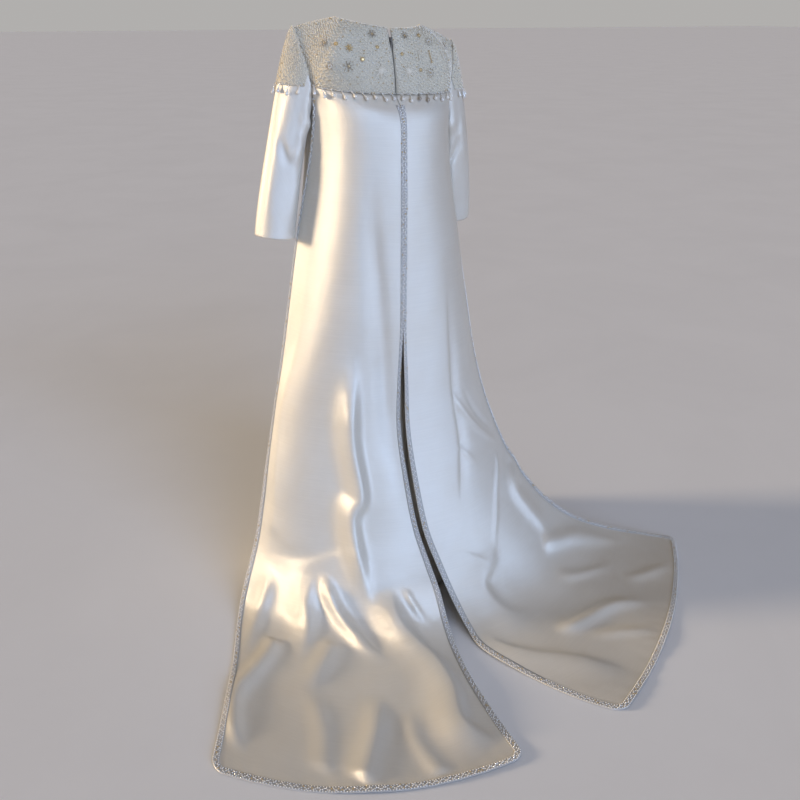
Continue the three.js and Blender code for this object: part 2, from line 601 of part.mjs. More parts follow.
// base is how far the band's back lies off the grid's face. below(c) points down and out of the cloth that
// hangs under column c.
function fringe({ grid, normals, round = false }, { row, first, count, base, below }) {
  const around = grid[0].length;
  const wrap = (c) => (round ? c % around : c);
  const cells = range(count - 1).map((i) => [row - 1, wrap(first + i)]);
  const band = clothWall(grid, { normals, round, cells, from: base, to: base + bandWall });
  const edge = range(count).map((i) => grid[row][wrap(first + i)]);
  const lengths = [0];
  edge.slice(1).forEach((point, i) => lengths.push(lengths[i] + point.distanceTo(edge[i])));
  const number = Math.round(lengths[count] / drops.spacing);
  return range(number - 1).reduce((solid, i) => {
    const at = ((i + 0.5) / number) * lengths[count];
    const next = lengths.findIndex((length) => length > at);
    const share = (at - lengths[next - 1]) / (lengths[next] - lengths[next - 1]);
    const [from, to] = [wrap(first + next - 1), wrap(first + next)];
    const face = grid[row][from].clone().lerp(grid[row][to], share);
    const out = normals[row][from].clone().lerp(normals[row][to], share).normalize();
    const up = grid[row - 1][from].clone().lerp(grid[row - 1][to], share).sub(face).multiplyScalar(0.4);
    const root = face.clone().add(up).addScaledVector(out, base + 0.9 * bandWall);
    const [under, beside] = [below(from), below(to)];
    const tip = face.addScaledVector(under.fall.lerp(beside.fall, share).normalize(), drops.lengths[i % 2])
      .addScaledVector(under.out.lerp(beside.out, share).normalize(), drops.bulb + drops.clear);
    return solid.add(beadDrop(root, tip));
  }, solidOf(band));
}

const fringes = {
  yoke_back_left: fringe(yokePanels.back_left, {
    row: lowestRow, first: steps.yokeArmhole, count: steps.yokeBottom, base: seamGap,
    below: (c) => trainFall('left', 1 - (c - steps.yokeArmhole) / steps.yokeBottom),
  }),
  yoke_back_right: fringe(yokePanels.back_right, {
    row: lowestRow, first: 0, count: steps.yokeBottom, base: seamGap,
    below: (c) => trainFall('right', c / steps.yokeBottom),
  }),
  yoke_front: fringe(yokePanels.front, {
    row: lowestRow, first: steps.yokeArmhole, count: 2 * steps.yokeBottom, base: seamGap,
    below: (c) => skirtFall(180 - ((180 - armhole.front) * Math.abs(c - shoulderColumn)) / steps.yokeBottom),
  }),
};
function trainFall(side, across) {
  const low = 0.015;
  const mirror = new THREE.Vector3(side === 'left' ? 1 : -1, 1, 1);
  const fall = panelPoint(side, across, low).sub(panelPoint(side, across, 0));
  const over = panelPoint(side, across + 0.05, low).sub(panelPoint(side, across - 0.05, low));
  return { fall: fall.clone().multiply(mirror).normalize(), out: over.cross(fall).multiply(mirror).normalize() };
}
function skirtFall(degrees) {
  const top = topEdge(degrees);
  const fall = figure(top + 25, degrees).sub(figure(top, degrees)).setX(0).normalize();
  return { fall, out: figure(top, degrees).setX(0).setZ(0).normalize() };
}
for (const side of ['left', 'right']) {
  const { grid, normals } = sleeveShapes[side];
  fringes[`cap_${side}`] = fringe(sleeveShapes[side], {
    row: steps.cap, first: capFirst[side], count: capCount, base: 2 * seamGap + capWall,
    below: (c) => ({
      fall: grid[steps.cap + 1][c].clone().sub(grid[steps.cap][c]).normalize(),
      out: normals[steps.cap][c].clone(),
    }),
  });
}
for (const [name, solid] of Object.entries(fringes)) add(`drops_${name}`, geometryOf(solid), 'pearl');

// Zip: a tape behind the centre-back opening, and a slider in it with a hinged pull tab.
function zipLine(down) {
  const point = yokePoint(0, down);
  const fall = yokePoint(0, Math.min(down + 0.02, 1)).sub(yokePoint(0, down - 0.02)).setX(0).normalize();
  return { point, fall, out: new THREE.Vector3(0, -fall.z, fall.y) };
}
const sliderDown = (slider.drop + neckBack.z) / (neckBack.z - yokeEdge(0).z);
const tapeBehind = (down) => mix(beadedWall + seamGap + 0.2, liftOverSkirt + satinWall + seamGap, down);
const tapeLine = range(zip.rows).map((i) => {
  const down = mix(sliderDown - 0.05, 1, (2 * i) / zip.rows);
  if (down <= 1) {
    const { point, out } = zipLine(down);
    return point.addScaledVector(out, -tapeBehind(down));
  }
  return figure(mix(yokeDrop.back, zip.end, (2 * i) / zip.rows - 1), 0, -satinWall - seamGap);
});
const tapeGrid = tapeLine.map((point) => [1, 0, -1].map((side) => (
  new THREE.Vector3((side * zip.tape) / 2, point.y - 1.5 * Math.abs(side), point.z))));
add('zip_tape', clothWall(tapeGrid, { from: -zip.tapeWall, to: 0 }), 'tape');

const { point: sliderPoint, fall: sliderFall, out: sliderOut } = zipLine(sliderDown);
const sliderFrame = new THREE.Matrix4()
  .makeBasis(new THREE.Vector3(1, 0, 0), sliderOut, sliderFall.clone().negate())
  .setPosition(sliderPoint);
const pivot = { y: slider.proud + tab.hinge, z: 2.2 };

function merged(geometry) {
  geometry.deleteAttribute('normal');
  geometry.deleteAttribute('uv');
  return solidOf(mergeVertices(geometry));
}
function cheek(x) {
  const plate = new THREE.Shape();
  plate.moveTo(-0.6, -slider.cheekTall / 2);
  plate.lineTo(slider.cheekProud, -slider.cheekTall / 2);
  plate.lineTo(slider.cheekProud, slider.cheekTall / 2);
  plate.lineTo(-0.6, slider.cheekTall / 2);
  plate.closePath();
  const eye = new THREE.Path();
  eye.absarc(tab.hinge, 0, tab.pin + tab.play, 0, 2 * Math.PI, true);
  plate.holes.push(eye);
  const extruded = new THREE.ExtrudeGeometry(plate, { depth: slider.cheek, bevelEnabled: false, curveSegments: 5 });
  const turned = new THREE.Matrix4().makeBasis(
    new THREE.Vector3(0, 1, 0), new THREE.Vector3(0, 0, 1), new THREE.Vector3(1, 0, 0),
  );
  extruded.applyMatrix4(turned).translate(x - slider.cheek / 2, slider.proud, pivot.z);
  return merged(extruded);
}
const block = new THREE.BoxGeometry(slider.wide, slider.deep, slider.tall).translate(0, slider.proud - slider.deep / 2, 0);
const cheekAway = tab.wide / 2 + tab.play + slider.cheek / 2;
const sliderSolid = merged(block).add(cheek(cheekAway)).add(cheek(-cheekAway));
const rod = (radius, long) => new THREE.CylinderGeometry(radius, radius, long, 10).rotateZ(Math.PI / 2);
const plate = new THREE.BoxGeometry(tab.wide, tab.wall, tab.tall).translate(0, 0, -tab.tall / 2);
const tabSolid = merged(rod(tab.barrel, tab.wide))
  .add(merged(rod(tab.pin, 2 * (cheekAway + slider.cheek / 2) - 0.4)))
  .add(merged(plate));
add('zip_slider', geometryOf(sliderSolid).applyMatrix4(sliderFrame), 'zipMetal');
add('zip_pull', geometryOf(tabSolid).translate(0, pivot.y, pivot.z).applyMatrix4(sliderFrame), 'zipMetal');

export default dress;
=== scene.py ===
import math

import bpy
import numpy as np
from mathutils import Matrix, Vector


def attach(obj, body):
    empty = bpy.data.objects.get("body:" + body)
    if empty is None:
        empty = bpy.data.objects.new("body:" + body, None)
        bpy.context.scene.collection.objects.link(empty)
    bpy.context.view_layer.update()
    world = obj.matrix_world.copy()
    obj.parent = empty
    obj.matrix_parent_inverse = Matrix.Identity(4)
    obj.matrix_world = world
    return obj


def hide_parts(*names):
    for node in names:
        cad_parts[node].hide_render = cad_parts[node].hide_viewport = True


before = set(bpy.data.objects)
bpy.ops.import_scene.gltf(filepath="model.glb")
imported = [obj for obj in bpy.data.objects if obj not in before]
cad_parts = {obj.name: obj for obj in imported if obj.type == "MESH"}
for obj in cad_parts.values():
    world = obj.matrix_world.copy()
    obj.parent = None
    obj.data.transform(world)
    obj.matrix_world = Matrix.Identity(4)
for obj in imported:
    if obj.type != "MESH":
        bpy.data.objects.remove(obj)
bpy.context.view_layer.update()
print("frame loaded:", len(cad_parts), "nodes")

mm = 0.001
rng = np.random.default_rng(1967)

# The cut of the dress in millimetres, the same one that the solids are built on.
cut = dict(
    floorDrop=1420, hemDrop=1412, seamGap=0.3, yokeSeam=0.5, liftOverSkirt=2.3, partingGap=0.4,
    shoulderTilt=math.tan(math.radians(4.6)), tiltFrom=40, tiltTo=300,
    figure=[  # drop, half width, depth in front, depth behind, squareness
        (150, 172, 112, 118, 2.6), (215, 168, 120, 122, 2.4), (300, 171, 125, 130, 2.2),
        (400, 184, 131, 138, 2.1), (500, 201, 140, 146, 2), (650, 232, 158, 157, 2),
        (800, 259, 178, 169, 2), (1000, 297, 206, 189, 2), (1200, 337, 234, 211, 2),
        (1420, 381, 264, 235, 2)],
    fluteCount=7, fluteDepth=0.05, fluteFrom=700,
    armBack=73.4, armSide=90, armFront=117.6, armBackDrop=148, armSideDrop=215, armFrontDrop=150,
    yokeBack=158, yokeFront=160,
)

# Stations of the yoke from the centre back over the shoulder to the centre front.
yokeCut = dict(
    neck=[(0, 81, -25), (50, 71, -21), (86, 46, -15), (99, 29, -12), (103, 14, -12), (100, -10, -20),
          (84, -48, -48), (48, -75, -68), (0, -86, -76)],
    crown=[(0, 8, 2), (3, 14, 5), (9, 34, 13), (3, 13, 9), (0, 0, 2), (2, -9, 6), (8, -24, 9),
           (3, -7, 3), (0, -3, 1)],
    armEdge=[(182, 33, -86), (190, 0, -38), (178, -42, -90)],
    backCorner=2, shoulder=4, frontCorner=6, centreFront=8,
    zipHalf=[(0, 5), (14, 3.6), (36, 3.4), (46, 1.2), (140, 1)],  # drop below the neck edge, half opening
    zipReach=40.0,
)


def ease(x, a, b):
    t = np.clip((np.asarray(x, float) - a) / (b - a), 0, 1)
    return t * t * (3 - 2 * t)


def mix(a, b, t):
    return a + (b - a) * t


def hermite(p, m, q, n, t):
    t2, t3 = t * t, t * t * t
    return (2 * t3 - 3 * t2 + 1) * p + (t3 - 2 * t2 + t) * m + (3 * t2 - 2 * t3) * q + (t3 - t2) * n


def tableAt(rows, at):  # smooth columns of a table, read at its first column
    rows = np.asarray(rows, float)
    keys, values = rows[:, 0], rows[:, 1:]
    count = len(keys)
    at = np.asarray(at, float)
    i = np.clip(np.searchsorted(keys, at), 1, count - 1) - 1
    low, high = np.maximum(np.arange(count) - 1, 0), np.minimum(np.arange(count) + 1, count - 1)
    slope = (values[high] - values[low]) / (keys[high] - keys[low])[:, None]
    span = (keys[i + 1] - keys[i])[..., None]
    t = np.clip((at - keys[i])[..., None] / span, 0, 1)
    return hermite(values[i], span * slope[i], values[i + 1], span * slope[i + 1], t)


def curveAt(points, place):  # a smooth curve, or a bundle of them, at a place counted in points
    points = np.asarray(points, float)
    place = np.asarray(place, float)
    i = np.clip(np.floor(place).astype(int), 0, len(points) - 2)
    ends = np.concatenate([2 * points[:1] - points[1:2], points, 2 * points[-1:] - points[-2:-1]])
    if points.ndim == 2:
        a, b, c, d = (ends[i + k] for k in range(4))
    else:
        lane = np.arange(points.shape[1])
        a, b, c, d = (ends[i + k, lane] for k in range(4))
    return hermite(b, (c - a) / 2, c, (d - b) / 2, (place - i)[..., None])


def unit(v):
    return v / np.maximum(np.linalg.norm(v, axis=-1, keepdims=True), 1e-12)


def figureAt(depth, degrees, out=0.0):  # the skirt's face, degrees counted from the centre back to the left
    depth, degrees = np.broadcast_arrays(np.asarray(depth, float), np.asarray(degrees, float))
    angle = np.radians(degrees)
    s, c = np.sin(angle), np.cos(angle)
    half, front, back, square = np.moveaxis(tableAt(cut["figure"], depth), -1, 0)
    low = ease(depth, cut["fluteFrom"], cut["floorDrop"])
    flute = 1 + cut["fluteDepth"] * low * ease(-c, 0, 0.5) * np.cos(cut["fluteCount"] * (angle - math.pi))
    deep = np.where(c > 0, back, front)
    power = 2 / square
    return np.stack([(half * flute + out) * np.sign(s) * np.abs(s) ** power,
                     (deep * flute + out) * np.sign(c) * np.abs(c) ** power, -depth], axis=-1)


def topEdge(degrees):  # depth of the skirt's top edge: yoke seam, armhole, yoke seam
    d = np.asarray(degrees, float)
    back, side, front = cut["armBack"], cut["armSide"], cut["armFront"]
    behind = mix(cut["yokeBack"], cut["armBackDrop"], (d / back) ** 2)
    ahead = mix(cut["yokeFront"], cut["armFrontDrop"], ((180 - d) / (180 - front)) ** 2)
    reach = np.where(d < side, (side - d) / (side - back), (d - side) / (front - side))
    rim = np.where(d < side, cut["armBackDrop"], cut["armFrontDrop"])
    under = mix(rim, cut["armSideDrop"], np.sqrt(np.maximum(0, 1 - reach ** 2)))
    return np.where(d <= back, behind, np.where(d >= front, ahead, under))


lift = cut["liftOverSkirt"]
armholeCurve = np.array([figureAt(cut["armBackDrop"], cut["armBack"], lift), *yokeCut["armEdge"],
                         figureAt(cut["armFrontDrop"], cut["armFront"], lift)])


def yokeEdge(place):
    place = np.asarray(place, float)
    first, last = yokeCut["backCorner"], yokeCut["frontCorner"]
    behind = cut["armBack"] * np.minimum(place, first) / first
    share = np.maximum(place - last, 0) / (yokeCut["centreFront"] - last)
    ahead = mix(cut["armFront"], 180, share)
    degrees = np.where(place <= first, behind, ahead)
    seam = figureAt(topEdge(degrees), degrees, lift)
    arm = curveAt(armholeCurve, np.clip(place - first, 0, last - first))
    onSeam = (place <= first) | (place >= last)
    return np.where(onSeam[..., None], seam, arm)


def yokeAt(place, down):  # the yoke's face from the neckline, 0, to its outer edge, 1
    place, down = np.broadcast_arrays(np.asarray(place, float), np.asarray(down, float))
    d = down[..., None]
    crown = curveAt(yokeCut["crown"], place)
    return mix(curveAt(yokeCut["neck"], place), yokeEdge(place), d) + crown * 4 * d * (1 - d)


def carried(points, side="left"):  # to the panel's own side, then the higher left shoulder, then metres
    p = np.array(points, float)
    if side == "right":
        p[..., 0] *= -1
    p[..., 2] += p[..., 0] * cut["shoulderTilt"] * (1 - ease(-p[..., 2], cut["tiltFrom"], cut["tiltTo"]))
    return p * mm


def gridNormals(grid, around=False):  # rows run down the cloth, columns to the right seen from outside
    down = np.gradient(grid, axis=0)
    if around:
        right = np.roll(grid, -1, axis=1) - np.roll(grid, 1, axis=1)
    else:
        right = np.gradient(grid, axis=1)
    return unit(np.cross(down, right))


def onGrid(grid, row, col):  # bilinear reading of a grid at fractional rows and columns
    row = np.clip(row, 0, grid.shape[0] - 1)
    col = np.clip(col, 0, grid.shape[1] - 1)
    r = np.clip(np.floor(row).astype(int), 0, grid.shape[0] - 2)
    c = np.clip(np.floor(col).astype(int), 0, grid.shape[1] - 2)
    a, b = (row - r)[..., None], (col - c)[..., None]
    upper = grid[r, c] * (1 - b) + grid[r, c + 1] * b
    lower = grid[r + 1, c] * (1 - b) + grid[r + 1, c + 1] * b
    return upper * (1 - a) + lower * a


# Meshes


def makeObject(name, verts, faces, material, smooth=True):
    mesh = bpy.data.meshes.new(name)
    mesh.from_pydata(np.asarray(verts).tolist(), [], np.asarray(faces).tolist())
    if smooth:
        mesh.shade_smooth()
    obj = bpy.data.objects.new(name, mesh)
    bpy.context.collection.objects.link(obj)
    for item in material if isinstance(material, (list, tuple)) else [material]:
        mesh.materials.append(item)
    return obj


def clothObject(name, grid, material, thickness, around=False):
    rows, cols = grid.shape[:2]
    ids = np.arange(rows * cols).reshape(rows, cols)
    if around:
        ids = np.concatenate([ids, ids[:, :1]], axis=1)
    quads = np.stack([ids[:-1, :-1], ids[1:, :-1], ids[1:, 1:], ids[:-1, 1:]], axis=-1).reshape(-1, 4)
    obj = makeObject(name, grid.reshape(-1, 3), quads, material)
    lengthDown, lengthAcross = np.zeros((rows, cols)), np.zeros((rows, cols))
    lengthDown[1:] = np.cumsum(np.linalg.norm(np.diff(grid, axis=0), axis=-1), axis=0)
    lengthAcross[:, 1:] = np.cumsum(np.linalg.norm(np.diff(grid, axis=1), axis=-1), axis=1)
    uv = np.stack([lengthAcross, lengthDown], axis=-1).reshape(-1, 2)
    layer = obj.data.uv_layers.new(name="cloth")
    corner = np.empty(len(obj.data.loops), int)
    obj.data.loops.foreach_get("vertex_index", corner)
    layer.data.foreach_set("uv", uv[corner].ravel())
    wall = obj.modifiers.new("cloth thickness", "SOLIDIFY")
    wall.thickness = thickness
    wall.offset = -1
    wall.material_offset = 1 if len(obj.data.materials) > 1 else 0
    return obj


def lathe(profile, sides):  # a closed turned shape about z, from its top to its foot
    profile = np.array(profile, float)
    turn = np.arange(sides) * 2 * math.pi / sides
    rings = profile[1:-1]
    verts = [np.array([[0, 0, profile[0, 1]]])]
    for radius, height in rings:
        verts.append(np.stack([radius * np.cos(turn), radius * np.sin(turn), np.full(sides, height)], axis=1))
    verts.append(np.array([[0, 0, profile[-1, 1]]]))
    faces = []
    last = 1 + sides * len(rings)
    for k in range(sides):
        n = (k + 1) % sides
        faces.append((0, 1 + k, 1 + n))
        for r in range(len(rings) - 1):
            a, b = 1 + r * sides, 1 + (r + 1) * sides
            faces += [(a + k, b + k, b + n), (a + k, b + n, a + n)]
        a = 1 + (len(rings) - 1) * sides
        faces.append((last, a + n, a + k))
    return np.concatenate(verts), np.array(faces)


beadShape = lathe([(0, 0.8), (0.78, 0.5), (0.78, -0.5), (0, -0.8)], 5)  # a faceted seed bead
bugleShape = lathe([(0, 1), (0.8, 0.86), (1, 0), (0.8, -0.86), (0, -1)], 6)
sequinShape = lathe([(0, 0.1), (0.5, 0.25), (1, 0.05), (0.9, -0.1), (0, -0.1)], 8)


def spread(shape, places, ways, along, scale):  # copies of a small shape, z along the ways, x along the thread
    verts, faces = shape
    z = unit(ways)
    x = unit(along - z * (along * z).sum(-1, keepdims=True))
    y = np.cross(z, x)
    scale = np.broadcast_to(np.asarray(scale, float), (len(places), 3))
    local = verts[None] * scale[:, None]
    world = places[:, None] + sum(local[..., k:k + 1] * way[:, None] for k, way in enumerate((x, y, z)))
    shift = (np.arange(len(places)) * len(verts))[:, None, None]
    return world.reshape(-1, 3), (faces[None] + shift).reshape(-1, 3)


class BeadBag:  # gathers many small shapes into one piece, each with its own tone
    def __init__(self):
        self.verts, self.faces, self.tones, self.count = [], [], [], 0

    def add(self, shape, places, ways, along, scale, tone):
        verts, faces = spread(shape, places, ways, along, scale)
        self.verts.append(verts)
        self.faces.append(faces + self.count)
        self.tones.append(np.repeat(np.broadcast_to(tone, len(places)), len(shape[0])))
        self.count += len(verts)

    def piece(self, name, material, slot, nodes=()):
        obj = makeObject(name, np.concatenate(self.verts), np.concatenate(self.faces), material)
        tone = obj.data.attributes.new("tone", "FLOAT", "POINT")
        tone.data.foreach_set("value", np.concatenate(self.tones).astype(np.float32))
        return dressPiece(obj, nodes)


def dressPiece(obj, nodes=(), body="gown"):
    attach(obj, body)
    if nodes:
        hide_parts(*nodes)
    return obj


def runAlong(points):  # distance along a polyline at each of its points
    return np.concatenate([[0], np.cumsum(np.linalg.norm(np.diff(points, axis=0), axis=1))])


def alongPath(points, spacing):  # places at even spacing along a polyline, counted in points
    length = runAlong(points)
    count = max(2, int(round(length[-1] / spacing)))
    at = (np.arange(count) + 0.5) / count * length[-1]
    return np.interp(at, length, np.arange(len(points)))


def pickAlong(at, *columns):  # rows of several arrays at fractional places
    return [np.stack([np.interp(at, np.arange(len(v)), v[:, k]) for k in range(3)], axis=1) for v in columns]


def beadLine(bag, points, ways, pitch, bead, tone):  # one row of beads along a line
    at = alongPath(points, pitch * mm)
    rows = pickAlong(at, points, ways, np.gradient(points, axis=0))
    bag.add(beadShape, *rows, np.array(bead) * mm, tone(len(at)))


# Materials


def nodeGroup(name, inputs, outputs):
    group = bpy.data.node_groups.new(name, "ShaderNodeTree")
    for label, kind, value in inputs:
        socket = group.interface.new_socket(label, in_out="INPUT", socket_type=kind)
        socket.default_value = value
    for label, kind in outputs:
        group.interface.new_socket(label, in_out="OUTPUT", socket_type=kind)
    return group, group.nodes.new("NodeGroupInput"), group.nodes.new("NodeGroupOutput")


def addNode(tree, kind, values=None, **options):
    node = tree.nodes.new(kind)
    for key, value in options.items():
        setattr(node, key, value)
    for key, value in (values or {}).items():
        node.inputs[key].default_value = value
    return node


def satinWeaveGroup():  # warp floats crossed by slubbed weft threads, on the cloth's own lengths
    group, given, out = nodeGroup("satinWeave", [("Pitch", "NodeSocketFloat", 0.0007)],
                                  [("Thread", "NodeSocketFloat"), ("Slub", "NodeSocketFloat")])
    link = group.links.new
    uv = addNode(group, "ShaderNodeUVMap", uv_map="cloth")
    turns = addNode(group, "ShaderNodeMath", {0: 2 * math.pi}, operation="DIVIDE")
    link(given.outputs["Pitch"], turns.inputs[1])
    scaled = addNode(group, "ShaderNodeVectorMath", operation="SCALE")
    link(uv.outputs[0], scaled.inputs[0])
    link(turns.outputs[0], scaled.inputs["Scale"])
    parts = addNode(group, "ShaderNodeSeparateXYZ")
    link(scaled.outputs[0], parts.inputs[0])
    warp = addNode(group, "ShaderNodeMath", operation="SINE")
    link(parts.outputs["X"], warp.inputs[0])
    diagonal = addNode(group, "ShaderNodeMath", {2: 0.0}, operation="MULTIPLY_ADD")
    diagonal.inputs[1].default_value = 0.2
    link(parts.outputs["X"], diagonal.inputs[0])
    link(parts.outputs["Y"], diagonal.inputs[2])
    tie = addNode(group, "ShaderNodeMath", operation="SINE")
    link(diagonal.outputs[0], tie.inputs[0])
    both = addNode(group, "ShaderNodeMath", {1: 0.5}, operation="MULTIPLY_ADD")
    link(tie.outputs[0], both.inputs[0])
    link(warp.outputs[0], both.inputs[2])
    stretched = addNode(group, "ShaderNodeMapping", {"Scale": (9, 420, 1)})
    link(uv.outputs[0], stretched.inputs["Vector"])
    slub = addNode(group, "ShaderNodeTexNoise", {"Scale": 1.0, "Detail": 3.0, "Roughness": 0.6})
    link(stretched.outputs[0], slub.inputs["Vector"])
    link(both.outputs[0], out.inputs["Thread"])
    link(slub.outputs["Fac"], out.inputs["Slub"])
    return group


def agedToneGroup():  # clean cloth turning to an older, warmer tone in soft patches
    group, given, out = nodeGroup(
        "agedTone",
        [("Clean", "NodeSocketColor", (1, 1, 1, 1)), ("Aged", "NodeSocketColor", (1, 1, 1, 1)),
         ("Patch Size", "NodeSocketFloat", 6.0), ("Amount", "NodeSocketFloat", 0.5)],
        [("Color", "NodeSocketColor"), ("Mask", "NodeSocketFloat")])
    link = group.links.new
    place = addNode(group, "ShaderNodeTexCoord")
    noise = addNode(group, "ShaderNodeTexNoise", {"Detail": 5.0, "Roughness": 0.62, "Distortion": 0.4})
    link(place.outputs["Object"], noise.inputs["Vector"])
    link(given.outputs["Patch Size"], noise.inputs["Scale"])
    band = addNode(group, "ShaderNodeMapRange", {"From Min": 0.38, "From Max": 0.72})
    link(noise.outputs["Fac"], band.inputs["Value"])
    share = addNode(group, "ShaderNodeMath", operation="MULTIPLY")
    link(band.outputs["Result"], share.inputs[0])
    link(given.outputs["Amount"], share.inputs[1])
    blend = addNode(group, "ShaderNodeMix", data_type="RGBA")
    link(share.outputs[0], blend.inputs["Factor"])
    link(given.outputs["Clean"], blend.inputs["A"])
    link(given.outputs["Aged"], blend.inputs["B"])
    link(blend.outputs["Result"], out.inputs["Color"])
    link(share.outputs[0], out.inputs["Mask"])
    return group


def crinkleGroup():  # the small crumpled planes that satin keeps after it has been folded away
    group, given, out = nodeGroup("crinkle", [("Size", "NodeSocketFloat", 12.0)],
                                  [("Height", "NodeSocketFloat")])
    link = group.links.new
    place = addNode(group, "ShaderNodeTexCoord")
    warp = addNode(group, "ShaderNodeTexNoise", {"Scale": 5.0, "Detail": 2.0})
    link(place.outputs["Object"], warp.inputs["Vector"])
    moved = addNode(group, "ShaderNodeVectorMath", {1: (0.12, 0.12, 0.12)}, operation="MULTIPLY_ADD")
    link(warp.outputs["Color"], moved.inputs[0])
    link(place.outputs["Object"], moved.inputs[2])
    planes = addNode(group, "ShaderNodeTexVoronoi", feature="SMOOTH_F1", distance="EUCLIDEAN")
    planes.inputs["Smoothness"].default_value = 0.7
    link(moved.outputs[0], planes.inputs["Vector"])
    link(given.outputs["Size"], planes.inputs["Scale"])
    soft = addNode(group, "ShaderNodeTexNoise", {"Detail": 4.0, "Roughness": 0.55})
    link(moved.outputs[0], soft.inputs["Vector"])
    link(given.outputs["Size"], soft.inputs["Scale"])
    total = addNode(group, "ShaderNodeMath", {1: 0.35}, operation="MULTIPLY_ADD")
    link(planes.outputs["Distance"], total.inputs[0])
    link(soft.outputs["Fac"], total.inputs[2])
    link(total.outputs[0], out.inputs["Height"])
    return group


def beadTintGroup():  # a bead's own tone, from cream through crystal and gold to smoky
    group, given, out = nodeGroup(
        "beadTint",
        [("Tone", "NodeSocketFloat", 0.5), ("Cream", "NodeSocketColor", (1, 1, 1, 1)),
         ("Crystal", "NodeSocketColor", (1, 1, 1, 1)), ("Gold", "NodeSocketColor", (1, 1, 1, 1)),
         ("Smoky", "NodeSocketColor", (0, 0, 0, 1))],
        [("Color", "NodeSocketColor"), ("Glint", "NodeSocketFloat")])
    link = group.links.new
    color = given.outputs["Cream"]
    for label, start in (("Crystal", 0.62), ("Gold", 0.9), ("Smoky", 0.96)):
        gate = addNode(group, "ShaderNodeMapRange", {"From Min": start - 0.015, "From Max": start + 0.015})
        link(given.outputs["Tone"], gate.inputs["Value"])
        blend = addNode(group, "ShaderNodeMix", data_type="RGBA")
        link(gate.outputs["Result"], blend.inputs["Factor"])
        link(color, blend.inputs["A"])
        link(given.outputs[label], blend.inputs["B"])
        color = blend.outputs["Result"]
        if label == "Crystal":
            link(gate.outputs["Result"], out.inputs["Glint"])
    link(color, out.inputs["Color"])
    return group


weaveGroup, toneGroup = satinWeaveGroup(), agedToneGroup()
crumpleGroup, tintGroup = crinkleGroup(), beadTintGroup()


def placed(tree, group, **values):
    node = addNode(tree, "ShaderNodeGroup", node_tree=group)
    for label, value in values.items():
        node.inputs[label.replace("_", " ")].default_value = value
    return node


def newMaterial(name):
    material = bpy.data.materials.new(name)
    material.use_nodes = True
    tree = material.node_tree
    return material, tree, tree.nodes["Principled BSDF"]


def clothMaterial(name, look):
    material, tree, shader = newMaterial(name)
    link = tree.links.new
    tone = placed(tree, toneGroup, Clean=look["clean"], Aged=look["aged"], Patch_Size=look["patch"],
                  Amount=look["age"])
    weave = placed(tree, weaveGroup, Pitch=look["pitch"])
    shade = addNode(tree, "ShaderNodeMix", data_type="RGBA", blend_type="MULTIPLY")
    shade.inputs["Factor"].default_value = look["slubShade"]
    link(tone.outputs["Color"], shade.inputs["A"])
    grey = addNode(tree, "ShaderNodeMapRange",
                   {"From Min": 0.3, "From Max": 0.75, "To Min": 0.62, "To Max": 1.0})
    link(weave.outputs["Slub"], grey.inputs["Value"])
    link(grey.outputs["Result"], shade.inputs["B"])
    link(shade.outputs["Result"], shader.inputs["Base Color"])
    rough = addNode(tree, "ShaderNodeMapRange",
                    {"To Min": look["rough"] - 0.05, "To Max": look["rough"] + 0.07})
    link(weave.outputs["Slub"], rough.inputs["Value"])
    link(rough.outputs["Result"], shader.inputs["Roughness"])
    crumple = placed(tree, crumpleGroup, Size=look["crinkleSize"])
    first = addNode(tree, "ShaderNodeBump", {"Strength": look["crinkle"], "Distance": 0.01})
    link(crumple.outputs["Height"], first.inputs["Height"])
    second = addNode(tree, "ShaderNodeBump", {"Strength": look["weave"], "Distance": 0.00025})
    link(weave.outputs["Thread"], second.inputs["Height"])
    link(first.outputs["Normal"], second.inputs["Normal"])
    link(second.outputs["Normal"], shader.inputs["Normal"])
    shader.inputs["Specular IOR Level"].default_value = look["specular"]
    shader.inputs["Sheen Weight"].default_value = look["sheen"]
    shader.inputs["Sheen Roughness"].default_value = 0.35
    shader.inputs["Anisotropic"].default_value = look["anisotropic"]
    shader.inputs["Metallic"].default_value = look["metallic"]
    return material


satinLook = dict(
    clean=(0.83, 0.80, 0.73, 1), aged=(0.74, 0.67, 0.56, 1), patch=3.2, age=0.5, pitch=0.0008, slubShade=0.14,
    rough=0.4, crinkleSize=9.0, crinkle=0.14, weave=0.3, specular=0.7, sheen=0.05, anisotropic=0.3,
    metallic=0.42)
satin = clothMaterial("ivory satin", satinLook)
lining = clothMaterial("lining", dict(
    satinLook, clean=(0.74, 0.71, 0.65, 1), aged=(0.64, 0.58, 0.48, 1), rough=0.62, crinkle=0.1, specular=0.3,
    anisotropic=0.0, metallic=0.0))
# Cloth under the beads, darker and duller than the satin: painted shade standing in for the shadow between the
# beads.
shadedBeadCloth = clothMaterial("beaded cloth painted shade", dict(
    satinLook, clean=(0.66, 0.61, 0.49, 1), aged=(0.54, 0.48, 0.36, 1), patch=14.0, rough=0.55,
    crinkle=0.05, metallic=0.0))
# Grey ribbon under the trim beads: painted shade standing in for the shadow among the beads of the band.
trimShadeRibbon = clothMaterial("trim ribbon painted shade", dict(
    satinLook, clean=(0.50, 0.49, 0.47, 1), aged=(0.42, 0.39, 0.35, 1), patch=20.0, rough=0.5,
    crinkle=0.05, metallic=0.1))
# Zip tape in dark taupe: painted shade standing in for the shadow in the gap between the yoke halves.
tapeShadeCloth = clothMaterial("zip tape painted shade", dict(
    satinLook, clean=(0.30, 0.27, 0.23, 1), aged=(0.22, 0.19, 0.16, 1), pitch=0.0012, rough=0.8, crinkle=0.02,
    specular=0.2, sheen=0.0, anisotropic=0.0, metallic=0.0))


